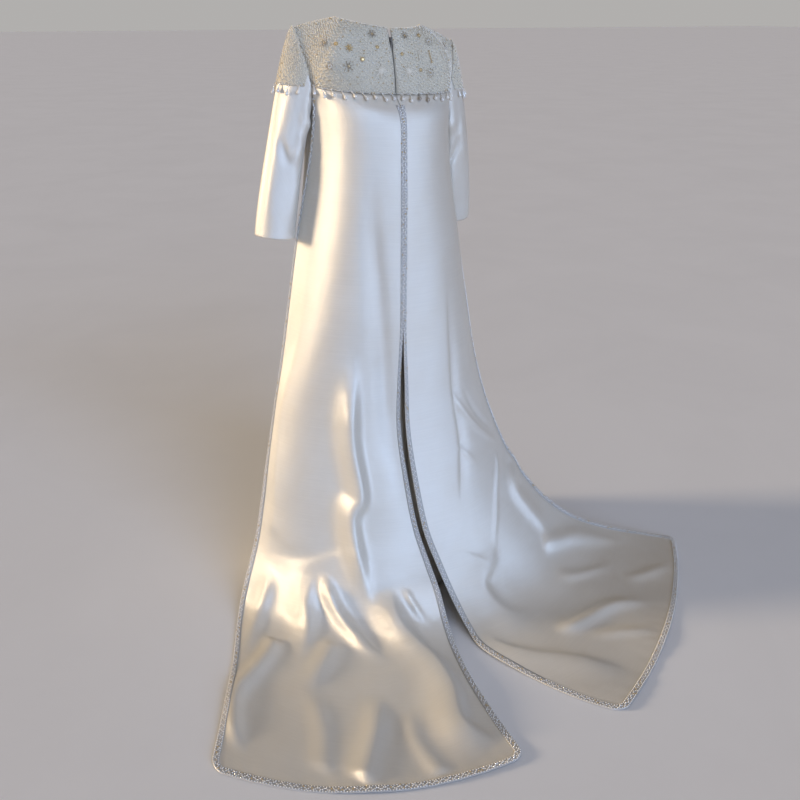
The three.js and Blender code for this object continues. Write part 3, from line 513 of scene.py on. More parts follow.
def beadMaterial(name, look):
    material, tree, shader = newMaterial(name)
    link = tree.links.new
    read = addNode(tree, "ShaderNodeAttribute", attribute_name="tone")
    tint = placed(tree, tintGroup, Cream=look["cream"], Crystal=look["crystal"], Gold=look["gold"],
                  Smoky=look["smoky"])
    link(read.outputs["Fac"], tint.inputs["Tone"])
    aged = placed(tree, toneGroup, Aged=look["aged"], Patch_Size=look["patch"], Amount=look["age"])
    link(tint.outputs["Color"], aged.inputs["Clean"])
    link(aged.outputs["Color"], shader.inputs["Base Color"])
    rough = addNode(tree, "ShaderNodeMapRange", {"To Min": look["rough"], "To Max": look["crystalRough"]})
    link(tint.outputs["Glint"], rough.inputs["Value"])
    link(rough.outputs["Result"], shader.inputs["Roughness"])
    metal = addNode(tree, "ShaderNodeMath", {1: look["metal"]}, operation="MULTIPLY")
    link(tint.outputs["Glint"], metal.inputs[0])
    link(metal.outputs[0], shader.inputs["Metallic"])
    shader.inputs["Coat Weight"].default_value = look["coat"]
    shader.inputs["Coat Roughness"].default_value = 0.12
    shader.inputs["Specular IOR Level"].default_value = 0.6
    return material


beadLook = dict(
    cream=(0.93, 0.87, 0.74, 1), crystal=(0.90, 0.88, 0.82, 1), gold=(0.72, 0.50, 0.20, 1),
    smoky=(0.50, 0.45, 0.37, 1), aged=(0.66, 0.57, 0.43, 1), patch=16.0, age=0.35, rough=0.28,
    crystalRough=0.12, metal=0.45, coat=0.5)
seedBeads = beadMaterial("seed beads", beadLook)
trimBeads = beadMaterial("trim beads", dict(
    beadLook, cream=(0.92, 0.90, 0.85, 1), crystal=(0.95, 0.95, 0.95, 1), rough=0.2, crystalRough=0.1,
    metal=0.2, age=0.2))
pearlDrops = beadMaterial("pearl drops", dict(
    beadLook, cream=(0.84, 0.80, 0.72, 1), crystal=(0.80, 0.79, 0.77, 1), smoky=(0.36, 0.31, 0.26, 1),
    rough=0.22, crystalRough=0.16, metal=0.2, coat=0.8, age=0.2))


# Teeth, slider and pull in near-black metal, darker still in small patches: painted shade standing in for the
# shadow in the narrow gap between the yoke halves.
def zipShadeMetalMaterial():
    material, tree, shader = newMaterial("zip metal painted shade")
    tone = placed(tree, toneGroup, Clean=(0.32, 0.30, 0.27, 1), Aged=(0.12, 0.11, 0.10, 1), Patch_Size=240.0,
                  Amount=0.8)
    tree.links.new(tone.outputs["Color"], shader.inputs["Base Color"])
    rough = addNode(tree, "ShaderNodeMapRange", {"To Min": 0.3, "To Max": 0.6})
    tree.links.new(tone.outputs["Mask"], rough.inputs["Value"])
    tree.links.new(rough.outputs["Result"], shader.inputs["Roughness"])
    shader.inputs["Metallic"].default_value = 1.0
    return material


zipShadeMetal = zipShadeMetalMaterial()
print("materials made")


# Train: two free panels from the yoke to their rounded ends on the floor

trainCut = dict(
    rowsAcross=118, rowsDown=262, cornerRows=12, corner=30, wall=1.2, floorLift=2.0,
    left=[  # inner edge x, y, drop | outer edge x, y, drop | bow
        (-4, 150, 207, 166, 44, 200, .2), (0, 164, 300, 173, 25, 295, .2), (4, 174, 400, 190, 9, 394, .2),
        (8, 182, 500, 209, 3, 490, .2), (13, 190, 667, 242, 5, 665, .2), (19, 190, 803, 269, 10, 805, .19),
        (23, 200, 931, 295, 14, 930, .17), (15, 226, 1059, 323, 20, 1050, .15),
        (3, 262, 1189, 349, 27, 1170, .13), (-10, 312, 1275, 367, 34, 1245, .12),
        (-16, 358, 1330, 389, 45, 1308, .11), (-14, 412, 1388, 422, 78, 1370, .1),
        (-6, 478, 1415, 456, 140, 1410, .09), (8, 583, 1418, 510, 300, 1418, .09),
        (14, 690, 1418, 560, 430, 1418, .11), (15, 832, 1418, 630, 598, 1418, .112)],
    right=[
        (4, 150, 207, 166, 44, 200, .2), (0, 164, 300, 173, 25, 295, .2), (-4, 174, 400, 190, 14, 394, .2),
        (-8, 182, 500, 207, 20, 490, .2), (-13, 190, 667, 222, 60, 665, .2),
        (-16, 204, 803, 244, 68, 800, .19), (-18, 218, 931, 273, 84, 925, .17),
        (-10, 242, 1059, 313, 104, 1040, .15), (3, 278, 1189, 356, 124, 1135, .13),
        (22, 318, 1275, 415, 144, 1222, .12), (42, 364, 1352, 478, 160, 1290, .1),
        (54, 428, 1402, 552, 180, 1346, .08), (60, 505, 1416, 642, 206, 1388, .06),
        (101, 602, 1418, 704, 230, 1406, .05), (175, 728, 1418, 764, 258, 1416, .06),
        (249, 815, 1418, 824, 300, 1418, .066)],
)

# Folds as soft lines on each panel: points (across, down), widths on the inner and outer side and height in
# mm, and the shares of the line by which it has risen and from which it fades.
trainFolds = dict(
    left=[
        dict(path=[(.26, .06), (.24, .15), (.18, .24), (.1, .39), (.06, .52), (.04, .6)], widths=(20, 24),
             height=-9),
        dict(path=[(.82, .1), (.78, .3), (.88, .42), (.86, .58), (.89, .63), (.96, .74)], widths=(105, 32),
             height=15),
        dict(path=[(.34, .33), (.34, .4), (.33, .46), (.3, .53), (.36, .56), (.36, .62), (.35, .69)],
             widths=(15, 36), height=34, fade=(0.25, 0.82)),
        dict(path=[(.56, .65), (.51, .69), (.43, .73), (.3, .79)], widths=(16, 28), height=17,
             fade=(0.3, 0.7)),
        dict(path=[(.9, .65), (.72, .64), (.56, .62), (.42, .6)], widths=(22, 14), height=-4),
        dict(path=[(.63, .64), (.64, .7), (.64, .74), (.72, .81)], widths=(20, 46), height=19),
        dict(path=[(.84, .67), (.88, .73), (.97, .83)], widths=(18, 26), height=12),
        dict(path=[(.8, .77), (.82, .79), (.95, .87), (.95, .93), (.92, .97)], widths=(20, 22), height=14,
             fade=(0.25, 0.75)),
        dict(path=[(.52, .74), (.56, .78), (.72, .87)], widths=(22, 30), height=12),
        dict(path=[(.25, .66), (.21, .71), (.12, .78), (.1, .85), (.13, .92), (.06, .97)], widths=(20, 58),
             height=25, fade=(0.2, 0.8)),
        dict(path=[(.38, .84), (.42, .9), (.46, .94), (.52, .99)], widths=(20, 30), height=14,
             fade=(0.35, 0.9)),
        dict(path=[(.16, .66), (.14, .68), (.08, .72)], widths=(9, 12), height=5),
        dict(path=[(.66, .84), (.62, .91), (.64, .98)], widths=(24, 28), height=8, fade=(0.35, 0.85)),
        dict(path=[(.28, .87), (.3, .93), (.26, .99)], widths=(22, 24), height=8, fade=(0.35, 0.9)),
    ],
    right=[
        dict(path=[(.43, .24), (.43, .34), (.42, .42), (.43, .5), (.35, .57), (.28, .61)], widths=(8, 24),
             height=-7),
        dict(path=[(.43, .43), (.45, .45), (.65, .51), (.92, .57)], widths=(9, 10), height=6),
        dict(path=[(.5, .42), (.7, .49), (.9, .54)], widths=(9, 9), height=-4),
        dict(path=[(.4, .52), (.42, .53), (.56, .57)], widths=(8, 9), height=4),
        dict(path=[(.78, .57), (.75, .59), (.49, .66), (.32, .71)], widths=(6, 9), height=4.5),
        dict(path=[(.96, .58), (.94, .62), (.78, .65), (.77, .73), (.68, .77)], widths=(18, 34), height=11),
        dict(path=[(.36, .68), (.31, .71), (.18, .74), (.2, .8), (.3, .83)], widths=(44, 20), height=14),
        dict(path=[(.66, .75), (.7, .76), (.86, .8), (.93, .88)], widths=(19, 22), height=14),
        dict(path=[(.54, .8), (.6, .83), (.76, .88)], widths=(16, 18), height=7),
        dict(path=[(.27, .86), (.3, .88), (.48, .91), (.58, .97)], widths=(17, 20), height=14),
        dict(path=[(.05, .8), (.07, .85), (.16, .92), (.18, .98)], widths=(46, 16), height=12),
        dict(path=[(.28, .9), (.36, .94), (.42, .99)], widths=(16, 18), height=6),
        dict(path=[(.66, .9), (.72, .94), (.82, .99)], widths=(18, 18), height=6),
    ],
)
trainRipples = dict(  # loose sway on the floor and puckers along the end, lengths in mm
    sway=2.2, swayFrom=0.55, swayFull=0.8, swayAcross=(47, 29), swayDown=(83, 61), pucker=0.7, puckerPeriod=41,
    puckerDrift=53, puckerReach=30)


def trainTop(across):
    return yokeEdge(yokeCut["backCorner"] * np.asarray(across, float)) + np.array([0, 0, -cut["yokeSeam"]])


def bowedRow(row, across):
    start, end = np.array([row[0], row[1], -row[2]]), np.array([row[3], row[4], -row[5]])
    chord = end - start
    outward = np.array([-chord[1], chord[0], 0])
    a = np.asarray(across, float)[..., None]
    return start + chord * a + outward * 4 * row[6] * a * (1 - a)


def panelStations(side):
    middles = np.array([trainTop(0.5), *(bowedRow(row, 0.5) for row in trainCut[side])])
    return runAlong(middles)


def panelAt(side, across, down):
    across, down = np.broadcast_arrays(np.asarray(across, float), np.asarray(down, float))
    a, stations = across.ravel(), panelStations(side)
    place = np.interp(down.ravel() * stations[-1], stations, np.arange(len(stations)))
    bundle = np.stack([trainTop(a), *(bowedRow(row, a) for row in trainCut[side])])
    points = curveAt(bundle, place)
    points[:, 0] += cut["partingGap"] * (1 - a)
    return points.reshape(across.shape + (3,))


def foldLift(folds, across, down, widthAt, length):
    total = np.zeros_like(across)
    s, t = across * widthAt(down), down * length
    for fold in folds:
        path = np.array(fold["path"])
        fine = curveAt(np.c_[path, np.zeros(len(path))], np.linspace(0, len(path) - 1, 40))[:, :2]
        line = np.c_[fine[:, 0] * widthAt(fine[:, 1]), fine[:, 1] * length]
        best = np.full(across.shape, 1e9)
        signed, run = np.zeros_like(across), np.zeros_like(across)
        for k in range(len(line) - 1):
            a, d = line[k], line[k + 1] - line[k]
            u = np.clip(((s - a[0]) * d[0] + (t - a[1]) * d[1]) / (d @ d), 0, 1)
            ds, dt = s - a[0] - u * d[0], t - a[1] - u * d[1]
            away = np.hypot(ds, dt)
            nearer = away < best
            best = np.where(nearer, away, best)
            signed = np.where(nearer, np.sign(ds * d[1] - dt * d[0]) * away, signed)
            run = np.where(nearer, (k + u) / (len(line) - 1), run)
        width = np.where(signed < 0, fold["widths"][0], fold["widths"][1])
        rise, fade = fold.get("fade", (0.42, 0.6))
        ends = ease(run, 0, rise) * (1 - ease(run, fade, 1))
        total += fold["height"] * ends * np.exp(-(signed / width) ** 2)
    return total


def trainPanel(side):
    length = panelStations(side)[-1]
    corner = trainCut["corner"]
    downs = np.linspace(0, 1 - corner / length, trainCut["rowsDown"])
    arc = np.linspace(0, math.pi / 2, trainCut["cornerRows"] + 1)[1:]
    downs = np.concatenate([downs, 1 - corner / length * (1 - np.sin(arc))])
    measured = panelAt(side, np.linspace(0, 1, 33)[None], downs[:, None])
    rowWidths = np.linalg.norm(np.diff(measured, axis=1), axis=-1).sum(1)
    inset = np.zeros(len(downs))
    inset[-trainCut["cornerRows"]:] = corner * (1 - np.cos(arc))
    share = inset / rowWidths
    u = np.linspace(0, 1, trainCut["rowsAcross"])
    across = share[:, None] + u[None] * (1 - 2 * share[:, None])
    down = np.broadcast_to(downs[:, None], across.shape)
    base = panelAt(side, across, down)
    normals = -gridNormals(base)

    def widthAt(d):
        return np.interp(d, downs, rowWidths)

    lifted = foldLift(trainFolds[side], across, down, widthAt, length)
    s, t = across * rowWidths[:, None], down * length
    own = trainRipples
    wide, fine = own["swayAcross"]
    slow, quick = own["swayDown"]
    sway = np.sin(s / wide + 1.3 * np.sin(t / slow)) + 0.6 * np.sin(s / fine - t / quick)
    lifted += own["sway"] * ease(down, own["swayFrom"], own["swayFull"]) * (1 + 0.6 * sway)
    hem = np.exp(-(1 - down) * length / own["puckerReach"])
    pucker = np.sin(s * 2 * math.pi / own["puckerPeriod"] + 3 * np.sin(s / own["puckerDrift"]))
    lifted += own["pucker"] * hem * (1 + pucker)
    grid = base + normals * lifted[..., None]
    grid[..., 2] = np.maximum(grid[..., 2], -cut["floorDrop"] + trainCut["floorLift"])
    grid = carried(grid, side)
    if side == "left":
        grid = grid[:, ::-1]
    return dict(side=side, grid=grid, normals=gridNormals(grid), downs=downs, share=share, widths=rowWidths,
                length=length)


def onPanel(panel, across, down, what="grid"):
    row = np.interp(down, panel["downs"], np.arange(len(panel["downs"])))
    share = np.interp(down, panel["downs"], panel["share"])
    u = (across - share) / (1 - 2 * share)
    if panel["side"] == "left":
        u = 1 - u
    return onGrid(panel[what], row, u * (panel["grid"].shape[1] - 1))


panels = {side: trainPanel(side) for side in ("left", "right")}
for side, panel in panels.items():
    piece = clothObject(f"train.{side}", panel["grid"], [satin, lining], trainCut["wall"] * mm)
    dressPiece(piece, [f"train_{side}"])
print("train panels laid")


# Bead trim round the free edges of the train

trimWork = dict(
    inset=7.6, halfBand=5.8, start=0.016, endFrom=0.9, edgePitch=6.2, zigPitch=5.0, zigHalf=3.6, zigPeriod=15.0,
    zigSteps=9000, edgeBead=(1.9, 1.9, 1.7), zigBead=(2.1, 2.1, 1.9), lift=1.3, ribbonHalf=7.2, ribbonLift=0.45,
    ribbonWall=0.4, topShare=0.42, widens=(0.3, 0.7))


def trimPath(panel, inset):  # (across, down) along the inner edge, round the end and up the outer edge
    length, corner = panel["length"], trainCut["corner"]
    radius = corner - inset
    turn = np.linspace(0, math.pi / 2, 12)
    sideDowns = np.linspace(trimWork["start"], 1 - corner / length, 260)

    def widthAt(d):
        return np.interp(d, panel["downs"], panel["widths"])

    slim = mix(trimWork["topShare"], 1, ease(sideDowns, *trimWork["widens"]))
    inner = np.c_[inset * slim / widthAt(sideDowns), sideDowns]
    bendDown = 1 - (corner - radius * np.sin(turn)) / length
    bendIn = (corner - radius * np.cos(turn)) / widthAt(bendDown)
    end = np.linspace(bendIn[-1], 1 - bendIn[-1], 120)[1:-1]
    bottom = np.c_[end, np.full(len(end), 1 - inset / length)]
    bendA, bendB = np.c_[bendIn, bendDown], np.c_[1 - bendIn, bendDown][::-1]
    outer = np.c_[1 - inner[:, 0], inner[:, 1]][::-1]
    return np.concatenate([inner, bendA[1:], bottom, bendB, outer[1:]])


def pathFrames(panel, path, lift):
    places = onPanel(panel, path[:, 0], path[:, 1])
    ways = unit(onPanel(panel, path[:, 0], path[:, 1], "normals"))
    return places + ways * lift * mm, ways, unit(np.gradient(places, axis=0))


def sewEdge(bag, panel, inset, endOnly):  # one row of small beads along an edge of the band
    path = trimPath(panel, inset)
    if endOnly:
        path = path[path[:, 1] > trimWork["endFrom"]]
    places, ways, along = pathFrames(panel, path, trimWork["lift"])
    at = alongPath(places, trimWork["edgePitch"] * mm)
    tones = rng.random(len(at)) * 0.92
    bag.add(beadShape, *pickAlong(at, places, ways, along), np.array(trimWork["edgeBead"]) * mm, tones)


trimPieces, trimRibbons = {}, {}
for side, panel in panels.items():
    bag = BeadBag()
    sewEdge(bag, panel, trimWork["inset"] - trimWork["halfBand"], False)
    sewEdge(bag, panel, trimWork["inset"] + trimWork["halfBand"], True)
    path = trimPath(panel, trimWork["inset"])
    fine = np.linspace(0, len(path) - 1, trimWork["zigSteps"])
    mid, ways, along = pickAlong(fine, *pathFrames(panel, path, trimWork["lift"]))
    wave = np.abs(((runAlong(mid) / mm / trimWork["zigPeriod"]) % 1) * 2 - 1) * 2 - 1
    zig = mid + np.cross(unit(ways), unit(along)) * (wave * trimWork["zigHalf"] * mm)[:, None]
    at = alongPath(zig, trimWork["zigPitch"] * mm)
    tones = 0.35 + rng.random(len(at)) * 0.6
    bag.add(beadShape, *pickAlong(at, zig, ways, along), np.array(trimWork["zigBead"]) * mm, tones)
    trimPieces[side] = bag.piece(f"trim.{side}", trimBeads, "trim", [f"train_trim_{side}"])
    # The grey ribbon under the trim beads is painted shade among them.
    ribbon = []
    for off in np.linspace(-1, 1, 5) * trimWork["ribbonHalf"]:
        path = trimPath(panel, trimWork["inset"] + off)
        ribbon.append(pathFrames(panel, path, trimWork["ribbonLift"])[0])
    ribbon = np.stack(ribbon if side == "left" else ribbon[::-1], axis=1)
    band = clothObject(f"ribbon.{side}", ribbon, trimShadeRibbon, trimWork["ribbonWall"] * mm)
    trimRibbons[side] = dressPiece(band)
print("train trim sewn")


# Skirt under the train

skirtCut = dict(rowsDown=60, power=1.25, wall=1.2)


def skirtDegrees():
    low = np.sin(np.linspace(0, math.pi / 2, 14))
    back, side, front = cut["armBack"], cut["armSide"], cut["armFront"]
    behind = np.concatenate([np.linspace(0, back, 26)[:-1], mix(side, back, low)[::-1]])
    ahead = np.concatenate([mix(side, front, low), np.linspace(front, 180, 40)[1:]])
    return behind, ahead


def skirtGrid(degrees):
    t = np.linspace(0, 1, skirtCut["rowsDown"])[:, None] ** skirtCut["power"]
    d = np.asarray(degrees)[None]
    return figureAt(mix(topEdge(d) + cut["yokeSeam"], cut["hemDrop"], t), d)


behind, ahead = skirtDegrees()
gap = cut["seamGap"] / 2
backGrid = skirtGrid(behind)
backGrid[:, 0, 0] += gap
backGrid[:, -1, 1] += gap
frontGrid = skirtGrid(ahead)
frontGrid[:, 0, 1] -= gap
wholeFront = np.concatenate([carried(frontGrid, "right"), carried(frontGrid)[:, ::-1][:, 1:]], axis=1)
skirtGrids = {"back.left": carried(backGrid)[:, ::-1], "back.right": carried(backGrid, "right"),
              "front": wholeFront}
for name, grid in skirtGrids.items():
    piece = clothObject(f"skirt.{name}", grid, [satin, lining], skirtCut["wall"] * mm)
    dressPiece(piece, [f"skirt_{name.replace('.', '_')}"])
print("skirt hung")


# Yoke: cloth, then the beadwork on it

yokeWork = dict(
    rowsDown=44, clothBack=1.6, wall=1.2, beadRows=37, steps=700, ends=0.004, pitch=3.1, meander=2.3, wave=17.0,
    ripple=0.31, rippleShare=0.5, rowShift=(2.4, 1.7), bead=(1.6, 1.6, 1.5), beadLift=-0.5, crowd=2.7,
    motif=1.45, neckPitch=2.7, neckBead=(1.4, 1.4, 1.3))


def zipSpread(grid):  # the back edges stand apart at the zip's opening
    drop = yokeCut["neck"][0][2] - grid[..., 2]
    half = tableAt(yokeCut["zipHalf"], np.maximum(drop, 0))[..., 0]
    near = np.clip(1 - grid[..., 0] / yokeCut["zipReach"], 0, 1)
    grid = grid.copy()
    grid[..., 0] += half * near
    return grid


def yokeGrids():
    rows = np.linspace(0, 1, yokeWork["rowsDown"])[:, None]
    back = zipSpread(yokeAt(np.linspace(0, yokeCut["shoulder"], 64)[None], rows))
    front = yokeAt(np.linspace(yokeCut["shoulder"], yokeCut["centreFront"], 56)[None], rows)
    whole = np.concatenate([carried(front, "right"), carried(front)[:, ::-1][:, 1:]], axis=1)
    return {"back.left": carried(back)[:, ::-1], "back.right": carried(back, "right"), "front": whole}


def clearOf(places, others, reach):  # which places lie further than reach from every other
    keep = np.ones(len(places), bool)
    for point, radius in zip(others, reach):
        keep &= np.linalg.norm(places - point, axis=1) > radius
    return keep


def thinned(places, gap):  # drops places that crowd an earlier one
    kept, cells = [], {}
    keys = np.floor(places / gap).astype(int)
    for i, key in enumerate(map(tuple, keys)):
        crowd = [j for dx in (-1, 0, 1) for dy in (-1, 0, 1) for dz in (-1, 0, 1)
                 for j in cells.get((key[0] + dx, key[1] + dy, key[2] + dz), ())]
        if all(np.sum((places[i] - places[j]) ** 2) >= gap * gap for j in crowd):
            kept.append(i)
            cells.setdefault(key, []).append(i)
    return np.array(kept, int)


def vermicelli(grid, normals, rows, lift):  # wandering lines of seed beads over a grid of cloth
    placesAll, waysAll, alongAll = [], [], []
    height, width = grid.shape[0] - 1, grid.shape[1] - 1
    columns = np.linspace(yokeWork["ends"], 1 - yokeWork["ends"], yokeWork["steps"]) * width
    waveShift, rippleShift = yokeWork["rowShift"]
    for k in range(rows):
        row = np.full(len(columns), (k + 0.5) / rows * height)
        flat = onGrid(grid, row, columns)
        run = runAlong(flat) / mm
        span = onGrid(grid, np.full_like(row, height), columns) - onGrid(grid, row * 0, columns)
        tall = np.linalg.norm(span, axis=1) / mm
        wander = np.sin(run * 2 * math.pi / yokeWork["wave"] + k * waveShift)
        wander += yokeWork["rippleShare"] * np.sin(run * yokeWork["ripple"] + k * rippleShift)
        row = row + yokeWork["meander"] * wander / np.maximum(tall, 20) * height
        row = np.clip(row, 0.2, height - 0.2)
        places = onGrid(grid, row, columns)
        at = alongPath(places, yokeWork["pitch"] * mm)
        rowsAt = pickAlong(at, places, onGrid(normals, row, columns), np.gradient(places, axis=0))
        for store, v in zip((placesAll, waysAll, alongAll), rowsAt):
            store.append(v)
    places, ways, along = (np.concatenate(v) for v in (placesAll, waysAll, alongAll))
    keep = thinned(places, yokeWork["crowd"] * mm)
    places, ways, along = places[keep], unit(ways[keep]), along[keep]
    return places + ways * lift * mm, ways, along


def sewSeeds(bag, places, ways, along):  # seed beads of slightly mixed sizes and tones
    size = np.array(yokeWork["bead"])[None] * (0.85 + 0.3 * rng.random((len(places), 1))) * mm
    bag.add(beadShape, places, ways, along, size, 0.94 * rng.random(len(places)) ** 1.3)


# Sewn motifs: side of the yoke, station, share of the way down, kind and radius in mm.
motifTable = [
    ("back.left", 0.64, 0.14, "flower", 7.0), ("back.left", 1.26, 0.43, "gilt", 6.5),
    ("back.left", 1.76, 0.45, "dot", 3.0), ("back.left", 0.40, 0.33, "dot", 2.6),
    ("back.left", 0.75, 0.54, "dot", 3.2), ("back.left", 1.07, 0.67, "flower", 9.0),
    ("back.left", 0.24, 0.67, "star", 10.5), ("back.left", 2.3, 0.55, "flower", 6.5),
    ("back.left", 1.62, 0.74, "ring", 5.0),
    ("back.right", 0.55, 0.12, "flower", 6.5), ("back.right", 1.25, 0.14, "dot", 3.2),
    ("back.right", 1.47, 0.26, "ring", 6.5), ("back.right", 2.82, 0.58, "flower", 6.0),
    ("back.right", 0.20, 0.40, "dot", 2.6), ("back.right", 0.72, 0.43, "hang", 5.5),
    ("back.right", 1.14, 0.46, "giltHang", 7.5), ("back.right", 1.69, 0.49, "hang", 5.0),
    ("back.right", 0.25, 0.66, "star", 10.5), ("back.right", 0.86, 0.69, "ring", 7.0),
    ("back.right", 0.59, 0.64, "dot", 2.8),
    ("front", 7.7, 0.66, "star", 10.5), ("front", -7.7, 0.66, "star", 10.5),
    ("front", 7.1, 0.3, "flower", 7.0), ("front", -7.1, 0.3, "flower", 7.0),
    ("front", 6.6, 0.66, "ring", 6.5), ("front", -6.6, 0.66, "flower", 8.0),
    ("front", 6.2, 0.38, "gilt", 6.5), ("front", -6.2, 0.38, "giltHang", 7.0),
    ("front", 7.5, 0.4, "dot", 3.0), ("front", -7.5, 0.4, "dot", 3.0),
    ("front", 5.2, 0.5, "flower", 6.5), ("front", -5.2, 0.5, "ring", 6.0),
]
petalTones = dict(flower=0.98, gilt=0.93, star=0.3, ring=0.98, dot=0.93, hang=0.3, giltHang=0.93)


def motifFrame(place, down, side):
    def at(p, d):
        return carried(zipSpread(yokeAt(p, d)) if p < yokeCut["shoulder"] else yokeAt(p, d), side)
    centre = at(place, down)
    x = unit(at(place + 0.02, down) - centre)
    y = unit(at(place, down - 0.02) - centre)
    z = unit(np.cross(x, y))
    if z @ (centre - np.array([0, 0, centre[2]])) < 0:
        z = -z
    x = unit(x - z * (x @ z))
    return centre + z * 1.1 * mm, x, np.cross(z, x), z


def sewMotif(bag, frameOf, kind, radius):
    centre, x, y, z = frameOf
    tone = petalTones[kind]

    def ring(count, reach, shape, scale, tone, turn=0.0, radial=True):
        angle = turn + 2 * math.pi * np.arange(count) / count
        out = np.cos(angle)[:, None] * x + np.sin(angle)[:, None] * y
        places = centre + out * np.reshape(reach, (-1, 1)) * mm
        ways = out if radial else np.broadcast_to(z, out.shape)
        along = np.broadcast_to(z, out.shape) if radial else out
        bag.add(shape, places, ways, along, np.array(scale) * mm, tone)

    if kind == "star":
        ring(8, 0.5 * radius, bugleShape, (0.85, 0.85, 0.42 * radius), tone)
        ring(8, 0.42 * radius, bugleShape, (0.8, 0.8, 0.3 * radius), 0.3, turn=math.pi / 8)
        ring(8, 1.0 * radius, beadShape, (1.3, 1.3, 1.2), tone, radial=False)
        ring(1, 0.0, beadShape, (2.3, 2.3, 2.2), 0.2, radial=False)
    elif kind in ("flower", "gilt"):
        ring(7, 0.55 * radius, bugleShape, (1.2, 1.2, 0.36 * radius), tone)
        ring(7, 0.95 * radius, beadShape, (1.2, 1.2, 1.1), 0.7, turn=math.pi / 7, radial=False)
        ring(1, 0.0, sequinShape, (2.4, 2.4, 2.6), 0.93, radial=False)
        ring(1, 0.05, beadShape, (1.3, 1.3, 1.9), 0.98, radial=False)
    elif kind == "ring":
        ring(10, 0.9 * radius, beadShape, (1.4, 1.4, 1.3), tone, radial=False)
        ring(6, 0.45 * radius, sequinShape, (1.9, 1.9, 3.0), 0.7, radial=False)
        ring(1, 0.0, beadShape, (1.6, 1.6, 1.8), 0.93, radial=False)
    elif kind == "dot":
        ring(1, 0.0, sequinShape, (radius, radius, 2.6), tone, radial=False)
        ring(1, 0.05, beadShape, (1.2, 1.2, 1.9), 0.3, radial=False)
    else:
        steps = np.linspace(1, -1, 5)[:, None] * radius * mm
        places = centre + y * steps
        bag.add(bugleShape, places, np.broadcast_to(y, places.shape), np.broadcast_to(z, places.shape),
                np.array([1.1, 1.1, 0.24 * radius]) * mm, tone)
        bag.add(beadShape, places[-1:] - y * 2.2 * mm, z[None], x[None], np.array([2.0, 2.0, 1.9]) * mm, tone)


yokePieces, yokeBeadPieces = {}, {}
yokeShapes = yokeGrids()
for name, grid in yokeShapes.items():
    normals = gridNormals(grid)
    node = f"yoke_{name.replace('.', '_')}"
    back = grid - normals * yokeWork["clothBack"] * mm
    cloth = clothObject(f"yoke.{name}", back, [shadedBeadCloth, lining], yokeWork["wall"] * mm)
    yokePieces[name] = dressPiece(cloth, [node])
    bag = BeadBag()
    places, ways, along = vermicelli(grid, normals, yokeWork["beadRows"], yokeWork["beadLift"])
    sewn = []
    for part, place, down, kind, radius in motifTable:
        if part == name:
            side = "right" if name == "back.right" or place < 0 else "left"
            sewn.append((motifFrame(abs(place), down, side), kind, radius))
    keep = clearOf(places, [m[0][0] for m in sewn], [m[2] * mm for m in sewn])
    places, ways, along = places[keep], ways[keep], along[keep]
    sewSeeds(bag, places, ways, along)
    for frameOf, kind, radius in sewn:
        sewMotif(bag, frameOf, kind, radius * yokeWork["motif"])
    beadLine(bag, grid[0], normals[0], yokeWork["neckPitch"], yokeWork["neckBead"],
             lambda n: rng.random(n) * 0.7)
    yokeBeadPieces[name] = bag.piece(f"beads.yoke.{name}", seedBeads, "beadwork")
    print("yoke", name, len(places), "beads")


# Sleeves: lines from points round the armhole to points round the cuff

sleeveCut = dict(
    left=dict(cuff=(256, -8, -474), halfAcross=47.5, halfDeep=48, along=(0.13, 0.02, -1)),
    right=dict(cuff=(236, -64, -474), halfAcross=47, halfDeep=46, along=(0.06, -0.26, -1)),
    upper=(0.85, 0, -0.5), under=(0.34, 0, -0.94), spread=0.25, pull=80, cuffPull=330, clear=0.5,
    armSteps=6, lowSteps=4, capDrop=150, capFrom=130, capReach=(0.05, 0.7), wall=1.2, around=96, rowsDown=96,
    girth=320.0, long=450.0)


capWork = dict(power=1.15, lift=1.5, wall=1.0, beadRows=24, beadLift=2.2)
sleeveFolds = dict(  # points (share of the way round from the outer line, down)
    left=[
        dict(path=[(.13, .5), (.19, .57), (.27, .61)], widths=(11, 15), height=-5),
        dict(path=[(.29, .38), (.3, .48), (.26, .6)], widths=(10, 13), height=5),
        dict(path=[(.43, .16), (.34, .28), (.26, .42)], widths=(14, 14), height=6),
        dict(path=[(.1, .42), (.12, .68), (.13, .96)], widths=(18, 18), height=4),
        dict(path=[(.36, .55), (.33, .75), (.34, .98)], widths=(16, 16), height=4),
        dict(path=[(.62, .2), (.72, .38), (.8, .55)], widths=(16, 16), height=5),
    ],
    right=[
        dict(path=[(.24, .46), (.31, .55), (.4, .58)], widths=(12, 14), height=-5),
        dict(path=[(.43, .16), (.36, .3), (.28, .44)], widths=(14, 14), height=6),
        dict(path=[(.34, .56), (.33, .76), (.34, .98)], widths=(16, 16), height=4),
        dict(path=[(.2, .36), (.22, .52), (.19, .7)], widths=(14, 14), height=5),
        dict(path=[(.62, .2), (.72, .38), (.8, .55)], widths=(16, 16), height=5),
    ],
)


def armholeLoop():
    steps, low = sleeveCut["armSteps"], sleeveCut["lowSteps"]
    share = np.arange(steps + 1) / steps
    upperBack = yokeEdge(mix(yokeCut["shoulder"], yokeCut["backCorner"], share))
    bend = np.sin(math.pi / 2 * np.arange(low + 1) / low)
    lowDegrees = np.concatenate([mix(cut["armSide"], cut["armBack"], bend)[::-1][1:-1],
                                 mix(cut["armSide"], cut["armFront"], bend)[:-1]])
    lowLoop = figureAt(topEdge(lowDegrees), lowDegrees)
    upperFront = yokeEdge(mix(yokeCut["frontCorner"], yokeCut["shoulder"], share))[:-1]
    return np.concatenate([upperBack, lowLoop, upperFront])


armLoop = armholeLoop()
loopCount = len(armLoop)


def aroundLoop(index):
    index = np.asarray(index, float) % loopCount
    return curveAt(np.concatenate([armLoop[-2:], armLoop, armLoop[:3]]), index + 2)


